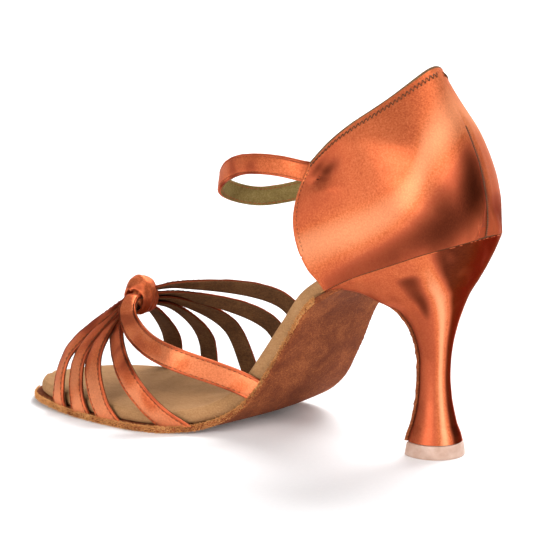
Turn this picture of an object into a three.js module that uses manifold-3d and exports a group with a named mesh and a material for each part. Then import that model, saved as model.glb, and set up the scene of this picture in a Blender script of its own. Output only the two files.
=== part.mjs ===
// A woman's ballroom dance shoe, for the right foot, in millimetres.
// +X runs to the toe, +Y to the inner (arch) side, +Z up.
// The origin is the middle of the heel tip, on the floor.
// Every length in a table is a share of the named size that its comment gives.

import * as THREE from 'three';
import { mergeVertices } from 'three/addons/utils/BufferGeometryUtils.js';
import Module from 'manifold-3d';

// Driving dimensions
const SHOE_LENGTH = 207.5;
const SEAT_OVERHANG = 19.5;
const BALL_WIDTH = 75;
const HEEL_HEIGHT = 82;
const TOE_SPRING = 1.5;
const OUTSOLE_THICKNESS = 2.4;
const FLAP_THICKNESS = 1.2;
const INSOLE_THICKNESS = 5.6;
const ARCH_LIFT = 2;
const WAIST_CROWN = 2.5;
const GAP = 0.3;
const QUARTER_WALL = 1.6;
const QUARTER_HEIGHT = 60;
const QUARTER_FRONT_HEIGHT = 47;
const QUARTER_FRONT_BULGE = 8.6;
const QUARTER_BACK_ROUND = 25;
const QUARTER_FAR_ROUND = 15;
const STRAP_WIDTH = 9;
const STRAP_THICKNESS = 1.5;
const VAMP_HEIGHT = 44;
const KNOT_WIDTH = 13;
const KNOT_THICKNESS = 2.4;
const BUNDLE_RADIUS = 5;
const ANKLE_STRAP_WIDTH = 7.8;
const ANKLE_STRAP_THICKNESS = 1.8;
const ANKLE_LOOP_REACH = 61.5;
const ANKLE_STRAP_SEWN = 8;
const HEEL_TIP_WIDTH = 22.3;
const CAP_HEIGHT = 5;

// Sizes that follow from them
const SEAT_BACK = -SEAT_OVERHANG;
const SEAT_WIDTH = 0.63 * BALL_WIDTH;
const SEAT_REACH = 0.173 * SHOE_LENGTH;
const SOLE_RIM = Math.max(QUARTER_WALL, STRAP_THICKNESS) + 2 * GAP;
const BED_RISE = HEEL_HEIGHT - OUTSOLE_THICKNESS;

// The sole's top face, a row for each section: along is a share of SHOE_LENGTH, near (inner) and far (outer)
// are shares of BALL_WIDTH, and the two rises are shares of BED_RISE.
const SOLE = [
  { along: 0.000, near: 0.080, far: -0.140, nearRise: 1.000, farRise: 1.000 },
  { along: 0.009, near: 0.153, far: -0.215, nearRise: 0.991, farRise: 0.991 },
  { along: 0.029, near: 0.227, far: -0.285, nearRise: 0.974, farRise: 0.973 },
  { along: 0.065, near: 0.290, far: -0.326, nearRise: 0.944, farRise: 0.938 },
  { along: 0.113, near: 0.314, far: -0.332, nearRise: 0.897, farRise: 0.888 },
  { along: 0.190, near: 0.312, far: -0.322, nearRise: 0.824, farRise: 0.812 },
  { along: 0.258, near: 0.290, far: -0.322, nearRise: 0.742, farRise: 0.715 },
  { along: 0.306, near: 0.272, far: -0.340, nearRise: 0.660, farRise: 0.582 },
  { along: 0.354, near: 0.253, far: -0.373, nearRise: 0.490, farRise: 0.350 },
  { along: 0.402, near: 0.243, far: -0.424, nearRise: 0.312, farRise: 0.172 },
  { along: 0.451, near: 0.264, far: -0.458, nearRise: 0.146, farRise: 0.076 },
  { along: 0.499, near: 0.327, far: -0.474, nearRise: 0.052, farRise: 0.028 },
  { along: 0.547, near: 0.407, far: -0.480, nearRise: 0.012, farRise: 0.006 },
  { along: 0.605, near: 0.483, far: -0.483, nearRise: 0.000, farRise: 0.000 },
  { along: 0.663, near: 0.511, far: -0.484, nearRise: 0.000, farRise: 0.000 },
  { along: 0.730, near: 0.504, far: -0.467, nearRise: 0.000, farRise: 0.000 },
  { along: 0.798, near: 0.480, far: -0.431, nearRise: 0.000, farRise: 0.000 },
  { along: 0.856, near: 0.453, far: -0.384, nearRise: 0.000, farRise: 0.000 },
  { along: 0.904, near: 0.416, far: -0.313, nearRise: 0.000, farRise: 0.000 },
  { along: 0.942, near: 0.376, far: -0.220, nearRise: 0.000, farRise: 0.000 },
  { along: 0.971, near: 0.325, far: -0.107, nearRise: 0.000, farRise: 0.000 },
  { along: 0.991, near: 0.253, far: 0.013, nearRise: 0.000, farRise: 0.000 },
  { along: 1.000, near: 0.213, far: 0.093, nearRise: 0.000, farRise: 0.000 },
];
const WAIST_START = 0.26;
const WAIST_END = 0.58;
const BEND_START = 0.18;
const BEND_END = 0.56;
const SPRING_START = 0.78;
const SOLE_COLUMNS = 8;

// The heel, a row for each level from the seat down: back is a share of SEAT_OVERHANG, front of
// SEAT_REACH, the two heights of HEEL_HEIGHT and half of SEAT_WIDTH. seat says how far the level keeps
// the seat's outline.
const HEEL = [
  { back: 1.000, backHeight: 1.000, front: 1.000, frontHeight: 0.732, half: 0.500, seat: 1.00 },
  { back: 0.925, backHeight: 0.933, front: 0.788, frontHeight: 0.743, half: 0.476, seat: 0.75 },
  { back: 0.815, backHeight: 0.860, front: 0.613, frontHeight: 0.732, half: 0.434, seat: 0.50 },
  { back: 0.705, backHeight: 0.799, front: 0.448, frontHeight: 0.700, half: 0.387, seat: 0.25 },
  { back: 0.544, backHeight: 0.732, front: 0.276, frontHeight: 0.667, half: 0.317, seat: 0.10 },
  { back: 0.431, backHeight: 0.659, front: 0.178, frontHeight: 0.610, half: 0.254, seat: 0.00 },
  { back: 0.338, backHeight: 0.579, front: 0.142, frontHeight: 0.545, half: 0.195, seat: 0.00 },
  { back: 0.277, backHeight: 0.500, front: 0.131, frontHeight: 0.485, half: 0.152, seat: 0.00 },
  { back: 0.246, backHeight: 0.427, front: 0.128, frontHeight: 0.427, half: 0.129, seat: 0.00 },
  { back: 0.236, backHeight: 0.354, front: 0.131, frontHeight: 0.354, half: 0.127, seat: 0.00 },
  { back: 0.262, backHeight: 0.268, front: 0.139, frontHeight: 0.268, half: 0.135, seat: 0.00 },
  { back: 0.313, backHeight: 0.201, front: 0.153, frontHeight: 0.201, half: 0.154, seat: 0.00 },
  { back: 0.369, backHeight: 0.140, front: 0.178, frontHeight: 0.140, half: 0.173, seat: 0.00 },
];
const HEEL_CORNER = THREE.MathUtils.degToRad(125);
const HEEL_SIDE_STEPS = 22;
const BREAST_STEPS = 4;

// The closed back, a row for each height: rise is a share of QUARTER_HEIGHT, lean (forward of the
// seat's back) a share of SEAT_OVERHANG, and half a share of SEAT_WIDTH.
const QUARTER = [
  { rise: 0.00, lean: 0.000, half: 0.490 },
  { rise: 0.10, lean: -0.036, half: 0.515 },
  { rise: 0.20, lean: -0.020, half: 0.536 },
  { rise: 0.32, lean: 0.045, half: 0.540 },
  { rise: 0.44, lean: 0.140, half: 0.520 },
  { rise: 0.55, lean: 0.275, half: 0.500 },
  { rise: 0.66, lean: 0.430, half: 0.455 },
  { rise: 0.83, lean: 0.745, half: 0.370 },
  { rise: 1.00, lean: 1.040, half: 0.290 },
];
const QUARTER_COLUMNS = 14;
const QUARTER_ROWS = 14;

// The vamp's straps, a row each. foot, knee and mouth are places along SHOE_LENGTH, kneeSide is the
// knee's distance from the middle as a share of BALL_WIDTH, and kneeRise its height as a share of
// VAMP_HEIGHT. The mouth is where the strap reaches the bundle, with its own side and rise.
const STRAPS = [
  { side: 1, foot: 0.868, knee: 0.881, kneeSide: 0.320, kneeRise: 0.47,
    mouth: 0.812, mouthSide: 0.125, mouthRise: 0.890 },
  { side: 1, foot: 0.800, knee: 0.834, kneeSide: 0.360, kneeRise: 0.48,
    mouth: 0.808, mouthSide: 0.135, mouthRise: 0.860 },
  { side: 1, foot: 0.720, knee: 0.784, kneeSide: 0.407, kneeRise: 0.48,
    mouth: 0.803, mouthSide: 0.142, mouthRise: 0.815 },
  { side: 1, foot: 0.572, knee: 0.680, kneeSide: 0.470, kneeRise: 0.43,
    mouth: 0.798, mouthSide: 0.147, mouthRise: 0.790 },
  { side: 1, foot: 0.428, knee: 0.560, kneeSide: 0.450, kneeRise: 0.63,
    mouth: 0.744, mouthSide: 0.245, mouthRise: 0.900 },
  { side: -1, foot: 0.832, knee: 0.821, kneeSide: 0.392, kneeRise: 0.41,
    mouth: 0.800, mouthSide: 0.187, mouthRise: 0.770 },
  { side: -1, foot: 0.735, knee: 0.749, kneeSide: 0.453, kneeRise: 0.46,
    mouth: 0.757, mouthSide: 0.215, mouthRise: 0.830 },
  { side: -1, foot: 0.610, knee: 0.680, kneeSide: 0.443, kneeRise: 0.61,
    mouth: 0.739, mouthSide: 0.173, mouthRise: 0.920 },
  { side: -1, foot: 0.480, knee: 0.579, kneeSide: 0.445, kneeRise: 0.69,
    mouth: 0.722, mouthSide: 0.170, mouthRise: 0.980 },
  { side: -1, foot: 0.405, knee: 0.530, kneeSide: 0.395, kneeRise: 0.94,
    mouth: 0.718, mouthSide: 0.140, mouthRise: 1.090 },
];
const KNOT_ALONG = 0.783;
const STRAP_STEPS = 14;
const STRAP_GATHER = 0.62;

// The ankle strap's free loop, a row for each bend: reach is a share of ANKLE_LOOP_REACH, side of SEAT_WIDTH,
// and drop (below the strap's root) of ANKLE_STRAP_WIDTH.
const ANKLE = [
  { reach: 0.13, side: 0.462, drop: -0.05 },
  { reach: 0.29, side: 0.485, drop: -0.25 },
  { reach: 0.49, side: 0.460, drop: -0.28 },
  { reach: 0.66, side: 0.390, drop: -0.10 },
  { reach: 0.84, side: 0.260, drop: 0.40 },
  { reach: 0.97, side: 0.100, drop: 1.10 },
  { reach: 1.00, side: -0.130, drop: 1.65 },
  { reach: 0.92, side: -0.340, drop: 1.97 },
  { reach: 0.76, side: -0.480, drop: 1.80 },
  { reach: 0.50, side: -0.510, drop: 1.22 },
  { reach: 0.27, side: -0.480, drop: 0.60 },
  { reach: 0.13, side: -0.462, drop: 0.15 },
];
const ANKLE_STEPS = 44;

const satin = { color: 0xdf7a48, roughness: 0.42, metalness: 0 };
const suede = { color: 0xa9683a, roughness: 0.95, metalness: 0 };
const lining = { color: 0xa88a60, roughness: 0.9, metalness: 0 };
const plastic = { color: 0xe2c2a8, roughness: 0.35, metalness: 0 };

// Smooth value of a table's column, which never swings past its own rows.
function smooth(rows, key, name, at) {
  const last = rows.length - 1;
  const slope = (i) => (rows[i + 1][name] - rows[i][name]) / (rows[i + 1][key] - rows[i][key]);
  const tangent = (i) => {
    if (i === 0) return slope(0);
    if (i === last) return slope(last - 1);
    const before = slope(i - 1);
    const after = slope(i);
    return before * after > 0 ? (2 * before * after) / (before + after) : 0;
  };
  let row = 0;
  while (row < last - 1 && at > rows[row + 1][key]) row++;
  const span = rows[row + 1][key] - rows[row][key];
  const t = THREE.MathUtils.clamp((at - rows[row][key]) / span, 0, 1);
  const start = rows[row][name];
  const end = rows[row + 1][name];
  const a = tangent(row) * span;
  const b = tangent(row + 1) * span;
  return start + t * a + t * t * (3 * (end - start) - 2 * a - b) + t * t * t * (2 * (start - end) + a + b);
}

const lerp = THREE.MathUtils.lerp;
const ease = THREE.MathUtils.smoothstep;
const vec = (x, y, z) => new THREE.Vector3(x, y, z);
const xAt = (along) => SEAT_BACK + along * SHOE_LENGTH;
const alongAt = (x) => (x - SEAT_BACK) / SHOE_LENGTH;

// The sole's top face

function bump(along) {
  const t = THREE.MathUtils.clamp((along - WAIST_START) / (WAIST_END - WAIST_START), 0, 1);
  return Math.sin(Math.PI * t) ** 2;
}

function bedHeight(x, across) {
  const along = alongAt(x);
  const near = smooth(SOLE, 'along', 'nearRise', along);
  const far = smooth(SOLE, 'along', 'farRise', along);
  const rise = lerp(far, near, (across + 1) / 2) * BED_RISE;
  const crown = WAIST_CROWN * bump(along) * (1 - across * across);
  return OUTSOLE_THICKNESS + rise - crown + TOE_SPRING * ease(along, SPRING_START, 1);
}

// Where y lies between the far edge, -1, and the near edge, 1.
function acrossAt(x, y) {
  const near = edge(alongAt(x), 1, 0).y;
  const far = edge(alongAt(x), -1, 0).y;
  return THREE.MathUtils.clamp((2 * (y - far)) / (near - far) - 1, -1, 1);
}

function bedNormal(x) {
  const step = 1;
  const slope = (bedHeight(x + step, 0) - bedHeight(x - step, 0)) / (2 * step);
  return vec(-slope, 0, 1).normalize();
}

// A point of the outline, moved inward by inset.
function edge(along, side, inset) {
  const name = side > 0 ? 'near' : 'far';
  const step = 0.004;
  const from = Math.max(0, along - step);
  const to = Math.min(1, along + step);
  const dx = (to - from) * SHOE_LENGTH;
  const dy = (smooth(SOLE, 'along', name, to) - smooth(SOLE, 'along', name, from)) * BALL_WIDTH;
  const length = Math.hypot(dx, dy);
  const y = smooth(SOLE, 'along', name, along) * BALL_WIDTH;
  return { x: xAt(along) + (side * dy * inset) / length, y: y - (side * dx * inset) / length };
}

function bedPoint(along, across, inset) {
  const near = edge(along, 1, inset);
  const far = edge(along, -1, inset);
  const x = lerp(far.x, near.x, (across + 1) / 2);
  const y = lerp(far.y, near.y, (across + 1) / 2);
  return vec(x, y, bedHeight(x, across));
}

function stations(from, to) {
  const list = [from];
  SOLE.forEach((row, i) => {
    const parts = row.along > BEND_START && row.along < BEND_END ? 3 : 1;
    const next = SOLE[Math.min(i + 1, SOLE.length - 1)].along;
    for (let part = 0; part < parts; part++) {
      const along = lerp(row.along, next, part / parts);
      if (along > list[list.length - 1] + 0.004 && along < to - 0.004) list.push(along);
    }
  });
  list.push(to);
  return list;
}

// Solids

// A closed solid through rings that have the same number of points, with a fan on each end.
function loft(rings) {
  const count = rings[0].length;
  const positions = [];
  const index = [];
  rings.forEach((ring) => ring.forEach((point) => positions.push(...point.toArray())));
  for (let ring = 0; ring < rings.length - 1; ring++) {
    for (let i = 0; i < count; i++) {
      const j = (i + 1) % count;
      const here = ring * count;
      const next = here + count;
      index.push(here + i, here + j, next + j, here + i, next + j, next + i);
    }
  }
  const fan = (ring, forward) => {
    const middle = vec(0, 0, 0);
    rings[ring].forEach((point) => middle.addScaledVector(point, 1 / count));
    const hub = positions.length / 3;
    positions.push(...middle.toArray());
    for (let i = 0; i < count; i++) {
      const a = ring * count + i;
      const b = ring * count + ((i + 1) % count);
      index.push(...(forward ? [hub, a, b] : [hub, b, a]));
    }
  };
  fan(0, false);
  fan(rings.length - 1, true);
  return facingOut(positions, index);
}

// The geometry with its faces turned outward.
function facingOut(positions, index) {
  let volume = 0;
  for (let i = 0; i < index.length; i += 3) {
    const [a, b, c] = [0, 1, 2].map((k) => vec(...positions.slice(3 * index[i + k], 3 * index[i + k] + 3)));
    volume += a.dot(b.cross(c));
  }
  const geometry = new THREE.BufferGeometry();
  geometry.setAttribute('position', new THREE.Float32BufferAttribute(positions, 3));
  geometry.setIndex(volume > 0 ? index : index.slice().reverse());
  return geometry;
}

const wasm = await Module();
wasm.setup();

function toSolid(geometry) {
  const merged = mergeVertices(geometry, 1e-4);
  const vertProperties = new Float32Array(merged.attributes.position.array);
  const triVerts = new Uint32Array(merged.index.array);
  return new wasm.Manifold(new wasm.Mesh({ numProp: 3, vertProperties, triVerts }));
}

function toGeometry(solid) {
  const mesh = solid.getMesh();
  const geometry = new THREE.BufferGeometry();
  geometry.setAttribute('position', new THREE.BufferAttribute(mesh.vertProperties, 3));
  geometry.setIndex(new THREE.BufferAttribute(mesh.triVerts, 1));
  return geometry;
}

// A slab on the sole's top face. rim gives its side as rows of inset and height, lower and upper are
// distances from the top face along its normal.
function slab(places, across, inset, rim, lower, upper) {
  const rings = places.map((along) => {
    const place = (side, extra, share) => {
      const point = bedPoint(along, side, inset + extra);
      const top = upper(along, side);
      return point.addScaledVector(bedNormal(point.x), lerp(lower, top, share));
    };
    const nearSide = rim.map((row) => place(1, row.inset, row.height));
    const farSide = rim.map((row) => place(-1, row.inset, row.height)).reverse();
    const inner = [];
    for (let i = 1; i < across; i++) inner.push(1 - (2 * i) / across);
    const first = rim[0].inset;
    const last = rim[rim.length - 1].inset;
    const over = inner.map((v) => place(v, last, 1));
    const under = inner.map((v) => place(-v, first, 0));
    return [...nearSide, ...over, ...farSide, ...under];
  });
  return loft(rings);
}

// A flat strap along a curve. facing gives the outward direction at a point.
function ribbon(curve, steps, widthAt, thickness, facing) {
  const outline = [
    [0.5, -0.3], [0.5, 0.3], [0.44, 0.5], [-0.44, 0.5],
    [-0.5, 0.3], [-0.5, -0.3], [-0.44, -0.5], [0.44, -0.5],
  ];
  const rings = [];
  for (let i = 0; i <= steps; i++) {
    const t = i / steps;
    const centre = curve.getPoint(t);
    const tangent = curve.getTangent(t);
    const across = tangent.clone().cross(facing(centre, t)).normalize();
    const outward = across.clone().cross(tangent).normalize();
    const width = widthAt(t);
    rings.push(outline.map(([w, h]) => centre.clone()
      .addScaledVector(across, w * width)
      .addScaledVector(outward, h * thickness)));
  }
  return loft(rings);
}

// Insole

const INSOLE_RIM = [
  { inset: 0.5, height: 0 },
  { inset: 0, height: 0.3 },
  { inset: 0, height: 0.65 },
  { inset: 0.6, height: 0.9 },
  { inset: 1.8, height: 1 },
];

const insoleTop = (along, across) => GAP + INSOLE_THICKNESS + ARCH_LIFT * bump(along) * across * across;

function insole() {
  return slab(stations(0, 1), SOLE_COLUMNS, SOLE_RIM, INSOLE_RIM, GAP, insoleTop);
}

// Heel

function heelLevel(row) {
  const back = -row.back * SEAT_OVERHANG;
  const front = row.front * SEAT_REACH;
  const ring = [];
  const place = (share, y) => {
    const x = lerp(back, front, share);
    const level = lerp(row.backHeight, row.frontHeight, share) * HEEL_HEIGHT;
    const seatShare = (x + SEAT_OVERHANG) / (SEAT_REACH + SEAT_OVERHANG);
    const chord = lerp(HEEL[0].backHeight, HEEL[0].frontHeight, seatShare) * HEEL_HEIGHT;
    return vec(x, y, level + row.seat * (bedHeight(x, acrossAt(x, y)) - chord));
  };
  for (let i = 0; i <= HEEL_SIDE_STEPS; i++) {
    const turn = lerp(1, -1, i / HEEL_SIDE_STEPS);
    const angle = turn * HEEL_CORNER;
    const share = (1 - Math.cos(angle)) / (1 - Math.cos(HEEL_CORNER));
    const round = Math.sin(angle) * row.half * SEAT_WIDTH;
    const along = alongAt(lerp(-SEAT_OVERHANG, SEAT_REACH, share));
    const outline = edge(along, turn < 0 ? -1 : 1, 0).y * row.half * 2;
    const middle = Math.abs(turn) < 1e-9;
    ring.push(place(share, middle ? 0 : lerp(round, outline, row.seat)));
  }
  const near = ring[0].y;
  const far = ring[ring.length - 1].y;
  for (let i = 1; i < BREAST_STEPS; i++) ring.push(place(1, lerp(far, near, i / BREAST_STEPS)));
  return ring;
}

function heelTipRing(width, height) {
  const ring = [];
  const radius = width / 2;
  for (let i = 0; i <= HEEL_SIDE_STEPS; i++) {
    const angle = lerp(1, -1, i / HEEL_SIDE_STEPS) * HEEL_CORNER;
    const share = (1 - Math.cos(angle)) / (1 - Math.cos(HEEL_CORNER));
    ring.push(vec(radius * lerp(-0.92, 0.78, share), radius * Math.sin(angle), height));
  }
  const near = ring[0];
  const far = ring[ring.length - 1];
  for (let i = 1; i < BREAST_STEPS; i++) {
    ring.push(vec(near.x, lerp(far.y, near.y, i / BREAST_STEPS), height));
  }
  return ring;
}

function heelRings() {
  const rings = HEEL.map(heelLevel);
  rings.push(heelTipRing(HEEL_TIP_WIDTH * 0.84, CAP_HEIGHT * 1.6));
  rings.push(heelTipRing(HEEL_TIP_WIDTH * 0.9, CAP_HEIGHT + GAP));
  return rings;
}

function heel() {
  return loft(heelRings());
}

function heelCap() {
  const bevel = 0.06 * CAP_HEIGHT;
  return loft([
    heelTipRing(HEEL_TIP_WIDTH * 0.92, CAP_HEIGHT),
    heelTipRing(HEEL_TIP_WIDTH * 0.97, CAP_HEIGHT * 0.7),
    heelTipRing(HEEL_TIP_WIDTH, bevel),
    heelTipRing(HEEL_TIP_WIDTH * 0.98, 0),
  ]);
}

// Outsole, with the flap down the heel's breast

function outsole() {
  const across = SOLE_COLUMNS;
  const rows = stations(alongAt(SEAT_REACH) + 0.008, 1).reverse().map((along) => ({
    at: (v) => bedPoint(along, v, 0),
    lift: 0,
    thickness: OUTSOLE_THICKNESS,
  }));
  heelRings().forEach((ring, i) => {
    const near = ring[0];
    const far = ring[HEEL_SIDE_STEPS];
    rows.push({
      at: (v) => far.clone().lerp(near, (v + 1) / 2),
      lift: GAP,
      thickness: lerp(OUTSOLE_THICKNESS, FLAP_THICKNESS, Math.min(1, (i + 1) / 3)),
    });
  });
  const rings = rows.map((row, i) => {
    const before = rows[Math.max(0, i - 1)].at(0);
    const after = rows[Math.min(rows.length - 1, i + 1)].at(0);
    const path = after.sub(before);
    const down = vec(-path.z, 0, path.x).normalize();
    const over = [];
    const under = [];
    for (let k = 0; k <= across; k++) {
      const v = 1 - (2 * k) / across;
      over.push(row.at(v).addScaledVector(down, row.lift));
      under.push(row.at(-v).addScaledVector(down, row.lift + row.thickness));
    }
    return [...over, ...under];
  });
  return loft(rings);
}

// Quarter

function quarterSide(share, rise) {
  const seatFront = SEAT_REACH - GAP;
  const along = 1 - Math.cos((share * Math.PI) / 2);
  const lean = (t) => SEAT_BACK + smooth(QUARTER, 'rise', 'lean', t) * SEAT_OVERHANG;
  const foot = (t) => {
    const x = lerp(SEAT_BACK, seatFront, t);
    return [x, bedHeight(x, 1) + GAP];
  };
  const peak = [lean(1), HEEL_HEIGHT + QUARTER_HEIGHT];
  const corner = [seatFront + 0.42 * QUARTER_FRONT_BULGE, foot(1)[1] + QUARTER_FRONT_HEIGHT];
  const topDip = 0.02 * QUARTER_HEIGHT * Math.sin(2 * Math.PI * along);
  const lower = foot(along);
  const upper = [lerp(peak[0], corner[0], along), lerp(peak[1], corner[1], along) - topDip];
  const back = [lean(rise), lerp(foot(0)[1], peak[1], rise)];
  const bulge = QUARTER_FRONT_BULGE * Math.sin(Math.PI * rise);
  const front = [lerp(foot(1)[0], corner[0], rise) + bulge, lerp(foot(1)[1], corner[1], rise)];
  return [0, 1].map((k) => {
    const corners = lerp(lerp(foot(0)[k], foot(1)[k], along), lerp(peak[k], corner[k], along), rise);
    return lerp(lower[k], upper[k], rise) + lerp(back[k], front[k], along) - corners;
  });
}

function quarterHalf(x, z, side, back = SEAT_BACK) {
  const seat = bedHeight(x, side) + GAP;
  const rise = THREE.MathUtils.clamp((z - HEEL_HEIGHT) / QUARTER_HEIGHT, 0, 1);
  const bowed = THREE.MathUtils.clamp((z - seat) / QUARTER_HEIGHT, 0, 1);
  const t = THREE.MathUtils.clamp((x - back) / (side > 0 ? QUARTER_BACK_ROUND : QUARTER_FAR_ROUND), 0, 1);
  const round = (1 - (1 - t) ** 2.2) ** (1 / 2.2);
  const free = smooth(QUARTER, 'rise', 'half', Math.max(rise, bowed * 0.55)) * SEAT_WIDTH * round;
  const outline = Math.abs(edge(alongAt(Math.max(x, SEAT_BACK)), side, GAP).y);
  const seated = Math.min(outline, free + 0.12 * SEAT_WIDTH);
  return lerp(t > 0 ? seated : 0, free, ease(z - seat, 0, 0.2 * QUARTER_HEIGHT));
}

function quarterPoint(turn, rise) {
  const share = Math.abs(turn);
  const [x, z] = quarterSide(share, rise);
  const side = turn < 0 ? -1 : 1;
  const y = share < 1e-6 ? 0 : side * quarterHalf(x, z, side, quarterSide(0, rise)[0]);
  return vec(x, y, z);
}

function quarterNormal(turn, rise) {
  const step = 0.01;
  const before = quarterPoint(Math.max(-1, turn - step), rise);
  const after = quarterPoint(Math.min(1, turn + step), rise);
  const below = quarterPoint(turn, Math.max(0, rise - step));
  const above = quarterPoint(turn, Math.min(1, rise + step));
  return above.sub(below).cross(after.sub(before)).normalize();
}

function quarter() {
  const columns = [];
  for (let i = -QUARTER_COLUMNS; i <= QUARTER_COLUMNS; i++) {
    const turn = i / QUARTER_COLUMNS;
    const outer = [];
    const inner = [];
    for (let k = 0; k <= QUARTER_ROWS; k++) {
      const rise = k / QUARTER_ROWS;
      const point = quarterPoint(turn, rise);
      outer.push(point);
      inner.unshift(point.clone().addScaledVector(quarterNormal(turn, rise), -QUARTER_WALL));
    }
    columns.push([...outer, ...inner]);
  }
  return loft(columns);
}

// Vamp straps, joined in the bundle that the knot holds

const knotCentre = vec(xAt(KNOT_ALONG), 0.02 * BALL_WIDTH, OUTSOLE_THICKNESS + 1.005 * VAMP_HEIGHT);
const domeFront = xAt(KNOT_ALONG) - 0.014 * SHOE_LENGTH;

// The way out of the foot that the straps lie on.
function vampFacing(point) {
  const forward = 0.6 * Math.max(0, point.x - domeFront);
  return vec(forward, 1.1 * point.y, 0.35 * (point.z - 0.15 * VAMP_HEIGHT));
}

function strapCurve(row) {
  const inset = SOLE_RIM - GAP - STRAP_THICKNESS / 2;
  const foot = edge(row.foot, row.side, inset);
  const low = bedHeight(foot.x, row.side);
  const knee = vec(xAt(row.knee), row.side * row.kneeSide * BALL_WIDTH,
    OUTSOLE_THICKNESS + row.kneeRise * VAMP_HEIGHT);
  const mouth = vec(xAt(row.mouth), row.side * row.mouthSide * BALL_WIDTH,
    OUTSOLE_THICKNESS + row.mouthRise * VAMP_HEIGHT);
  const lean = 0.3 * (knee.x - foot.x);
  const behind = edge(alongAt(foot.x - lean), row.side, inset);
  const ahead = edge(alongAt(foot.x + lean), row.side, inset);
  const start = vec(foot.x - lean, behind.y, low - STRAP_WIDTH * 0.5);
  const shoulder = lerp(low, bedHeight(foot.x + lean, row.side), 0.35) + INSOLE_THICKNESS * 0.9;
  const spread = Math.max(0.4 * STRAP_THICKNESS, 0.2 * (Math.abs(knee.y) - Math.abs(foot.y)));
  const out = Math.max(Math.abs(foot.y) + spread, Math.abs(ahead.y));
  const top = vec(foot.x + lean, row.side * out, shoulder);
  return new THREE.CatmullRomCurve3([start, top, knee, mouth, knotCentre], false, 'centripetal');
}

function strap(row, grow) {
  const widthAt = (t) => STRAP_WIDTH * lerp(1, STRAP_GATHER, ease(t, 0.55, 0.9)) + grow;
  return toSolid(ribbon(strapCurve(row), STRAP_STEPS, widthAt, STRAP_THICKNESS + grow, vampFacing));
}

function bundle(grow) {
  const reach = KNOT_WIDTH * 0.75;
  const shape = new THREE.SphereGeometry(1, 16, 10);
  shape.deleteAttribute('normal');
  shape.deleteAttribute('uv');
  shape.scale(BUNDLE_RADIUS + grow, reach + grow, BUNDLE_RADIUS * 0.9 + grow);
  shape.translate(knotCentre.x, knotCentre.y, knotCentre.z);
  return toSolid(shape);
}

function strapUnion(grow) {
  return STRAPS.reduce((whole, row) => whole.add(strap(row, grow)), bundle(grow / 2));
}

function vampStraps() {
  const plainRim = [{ inset: 0, height: 0 }, { inset: 0, height: 1 }];
  const places = stations(alongAt(SEAT_REACH) + 0.03, 1);
  const cut = (inset, rim, lower, upper) => toSolid(slab(places, SOLE_COLUMNS, inset, rim, lower, upper));
  const sole = cut(-GAP / 2, plainRim, -3 * STRAP_WIDTH, () => GAP);
  const underSole = cut(-2 * STRAP_WIDTH, plainRim, -3 * STRAP_WIDTH, () => -OUTSOLE_THICKNESS / 2);
  const besideInsole = cut(SOLE_RIM - 1.5 * GAP, INSOLE_RIM, -GAP, (along, v) => insoleTop(along, v) + GAP);
  const whole = strapUnion(0).subtract(sole).subtract(underSole).subtract(besideInsole);
  return toGeometry(whole);
}

// Knot: a band round the bundle

function knot() {
  const steps = 24;
  const inner = BUNDLE_RADIUS + GAP;
  const rings = [];
  for (let i = 0; i < steps; i++) {
    const angle = (2 * Math.PI * i) / steps;
    const out = vec(Math.cos(angle), 0, Math.sin(angle));
    const swell = 1 + 0.25 * Math.max(0, Math.sin(angle));
    const section = [];
    for (let k = 0; k < 12; k++) {
      const turn = (2 * Math.PI * k) / 12;
      const radius = inner + (KNOT_THICKNESS * swell * (1 + Math.sin(turn))) / 2;
      section.push(knotCentre.clone()
        .addScaledVector(out, radius)
        .add(vec(0, (Math.cos(turn) * KNOT_WIDTH) / 2, 0)));
    }
    rings.push(section);
  }
  return toGeometry(toSolid(hoop(rings)).subtract(strapUnion(2 * GAP)));
}

// A closed solid through rings that run round a loop.
function hoop(rings) {
  const count = rings[0].length;
  const positions = [];
  const index = [];
  rings.forEach((ring) => ring.forEach((point) => positions.push(...point.toArray())));
  for (let ring = 0; ring < rings.length; ring++) {
    for (let i = 0; i < count; i++) {
      const j = (i + 1) % count;
      const here = ring * count;
      const next = ((ring + 1) % rings.length) * count;
      index.push(here + i, here + j, next + j, here + i, next + j, next + i);
    }
  }
  return facingOut(positions, index);
}

// Ankle strap

function ankleStrap() {
  const rootX = SEAT_REACH;
  const rootZ = bedHeight(SEAT_REACH, 1) + QUARTER_FRONT_HEIGHT - 0.4 * ANKLE_STRAP_WIDTH;
  const inside = (x, side) => {
    const clear = QUARTER_WALL + GAP + ANKLE_STRAP_THICKNESS / 2;
    return vec(x, side * (quarterHalf(x, rootZ, side) - clear - GAP), rootZ);
  };
  const free = ANKLE.map((row) => vec(rootX + row.reach * ANKLE_LOOP_REACH, row.side * SEAT_WIDTH,
    rootZ - row.drop * ANKLE_STRAP_WIDTH));
  const points = [
    inside(rootX - ANKLE_STRAP_SEWN, 1), inside(rootX, 1), ...free,
    inside(rootX, -1), inside(rootX - ANKLE_STRAP_SEWN, -1),
  ];
  const curve = new THREE.CatmullRomCurve3(points, false, 'centripetal');
  const facing = (point) => vec(point.x - rootX - 0.4 * ANKLE_LOOP_REACH, 2 * point.y, 0);
  return ribbon(curve, ANKLE_STEPS, () => ANKLE_STRAP_WIDTH, ANKLE_STRAP_THICKNESS, facing);
}

function piece(name, geometry, finish) {
  geometry.computeVertexNormals();
  const mesh = new THREE.Mesh(geometry, new THREE.MeshStandardMaterial(finish));
  mesh.name = name;
  return mesh;
}

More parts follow.
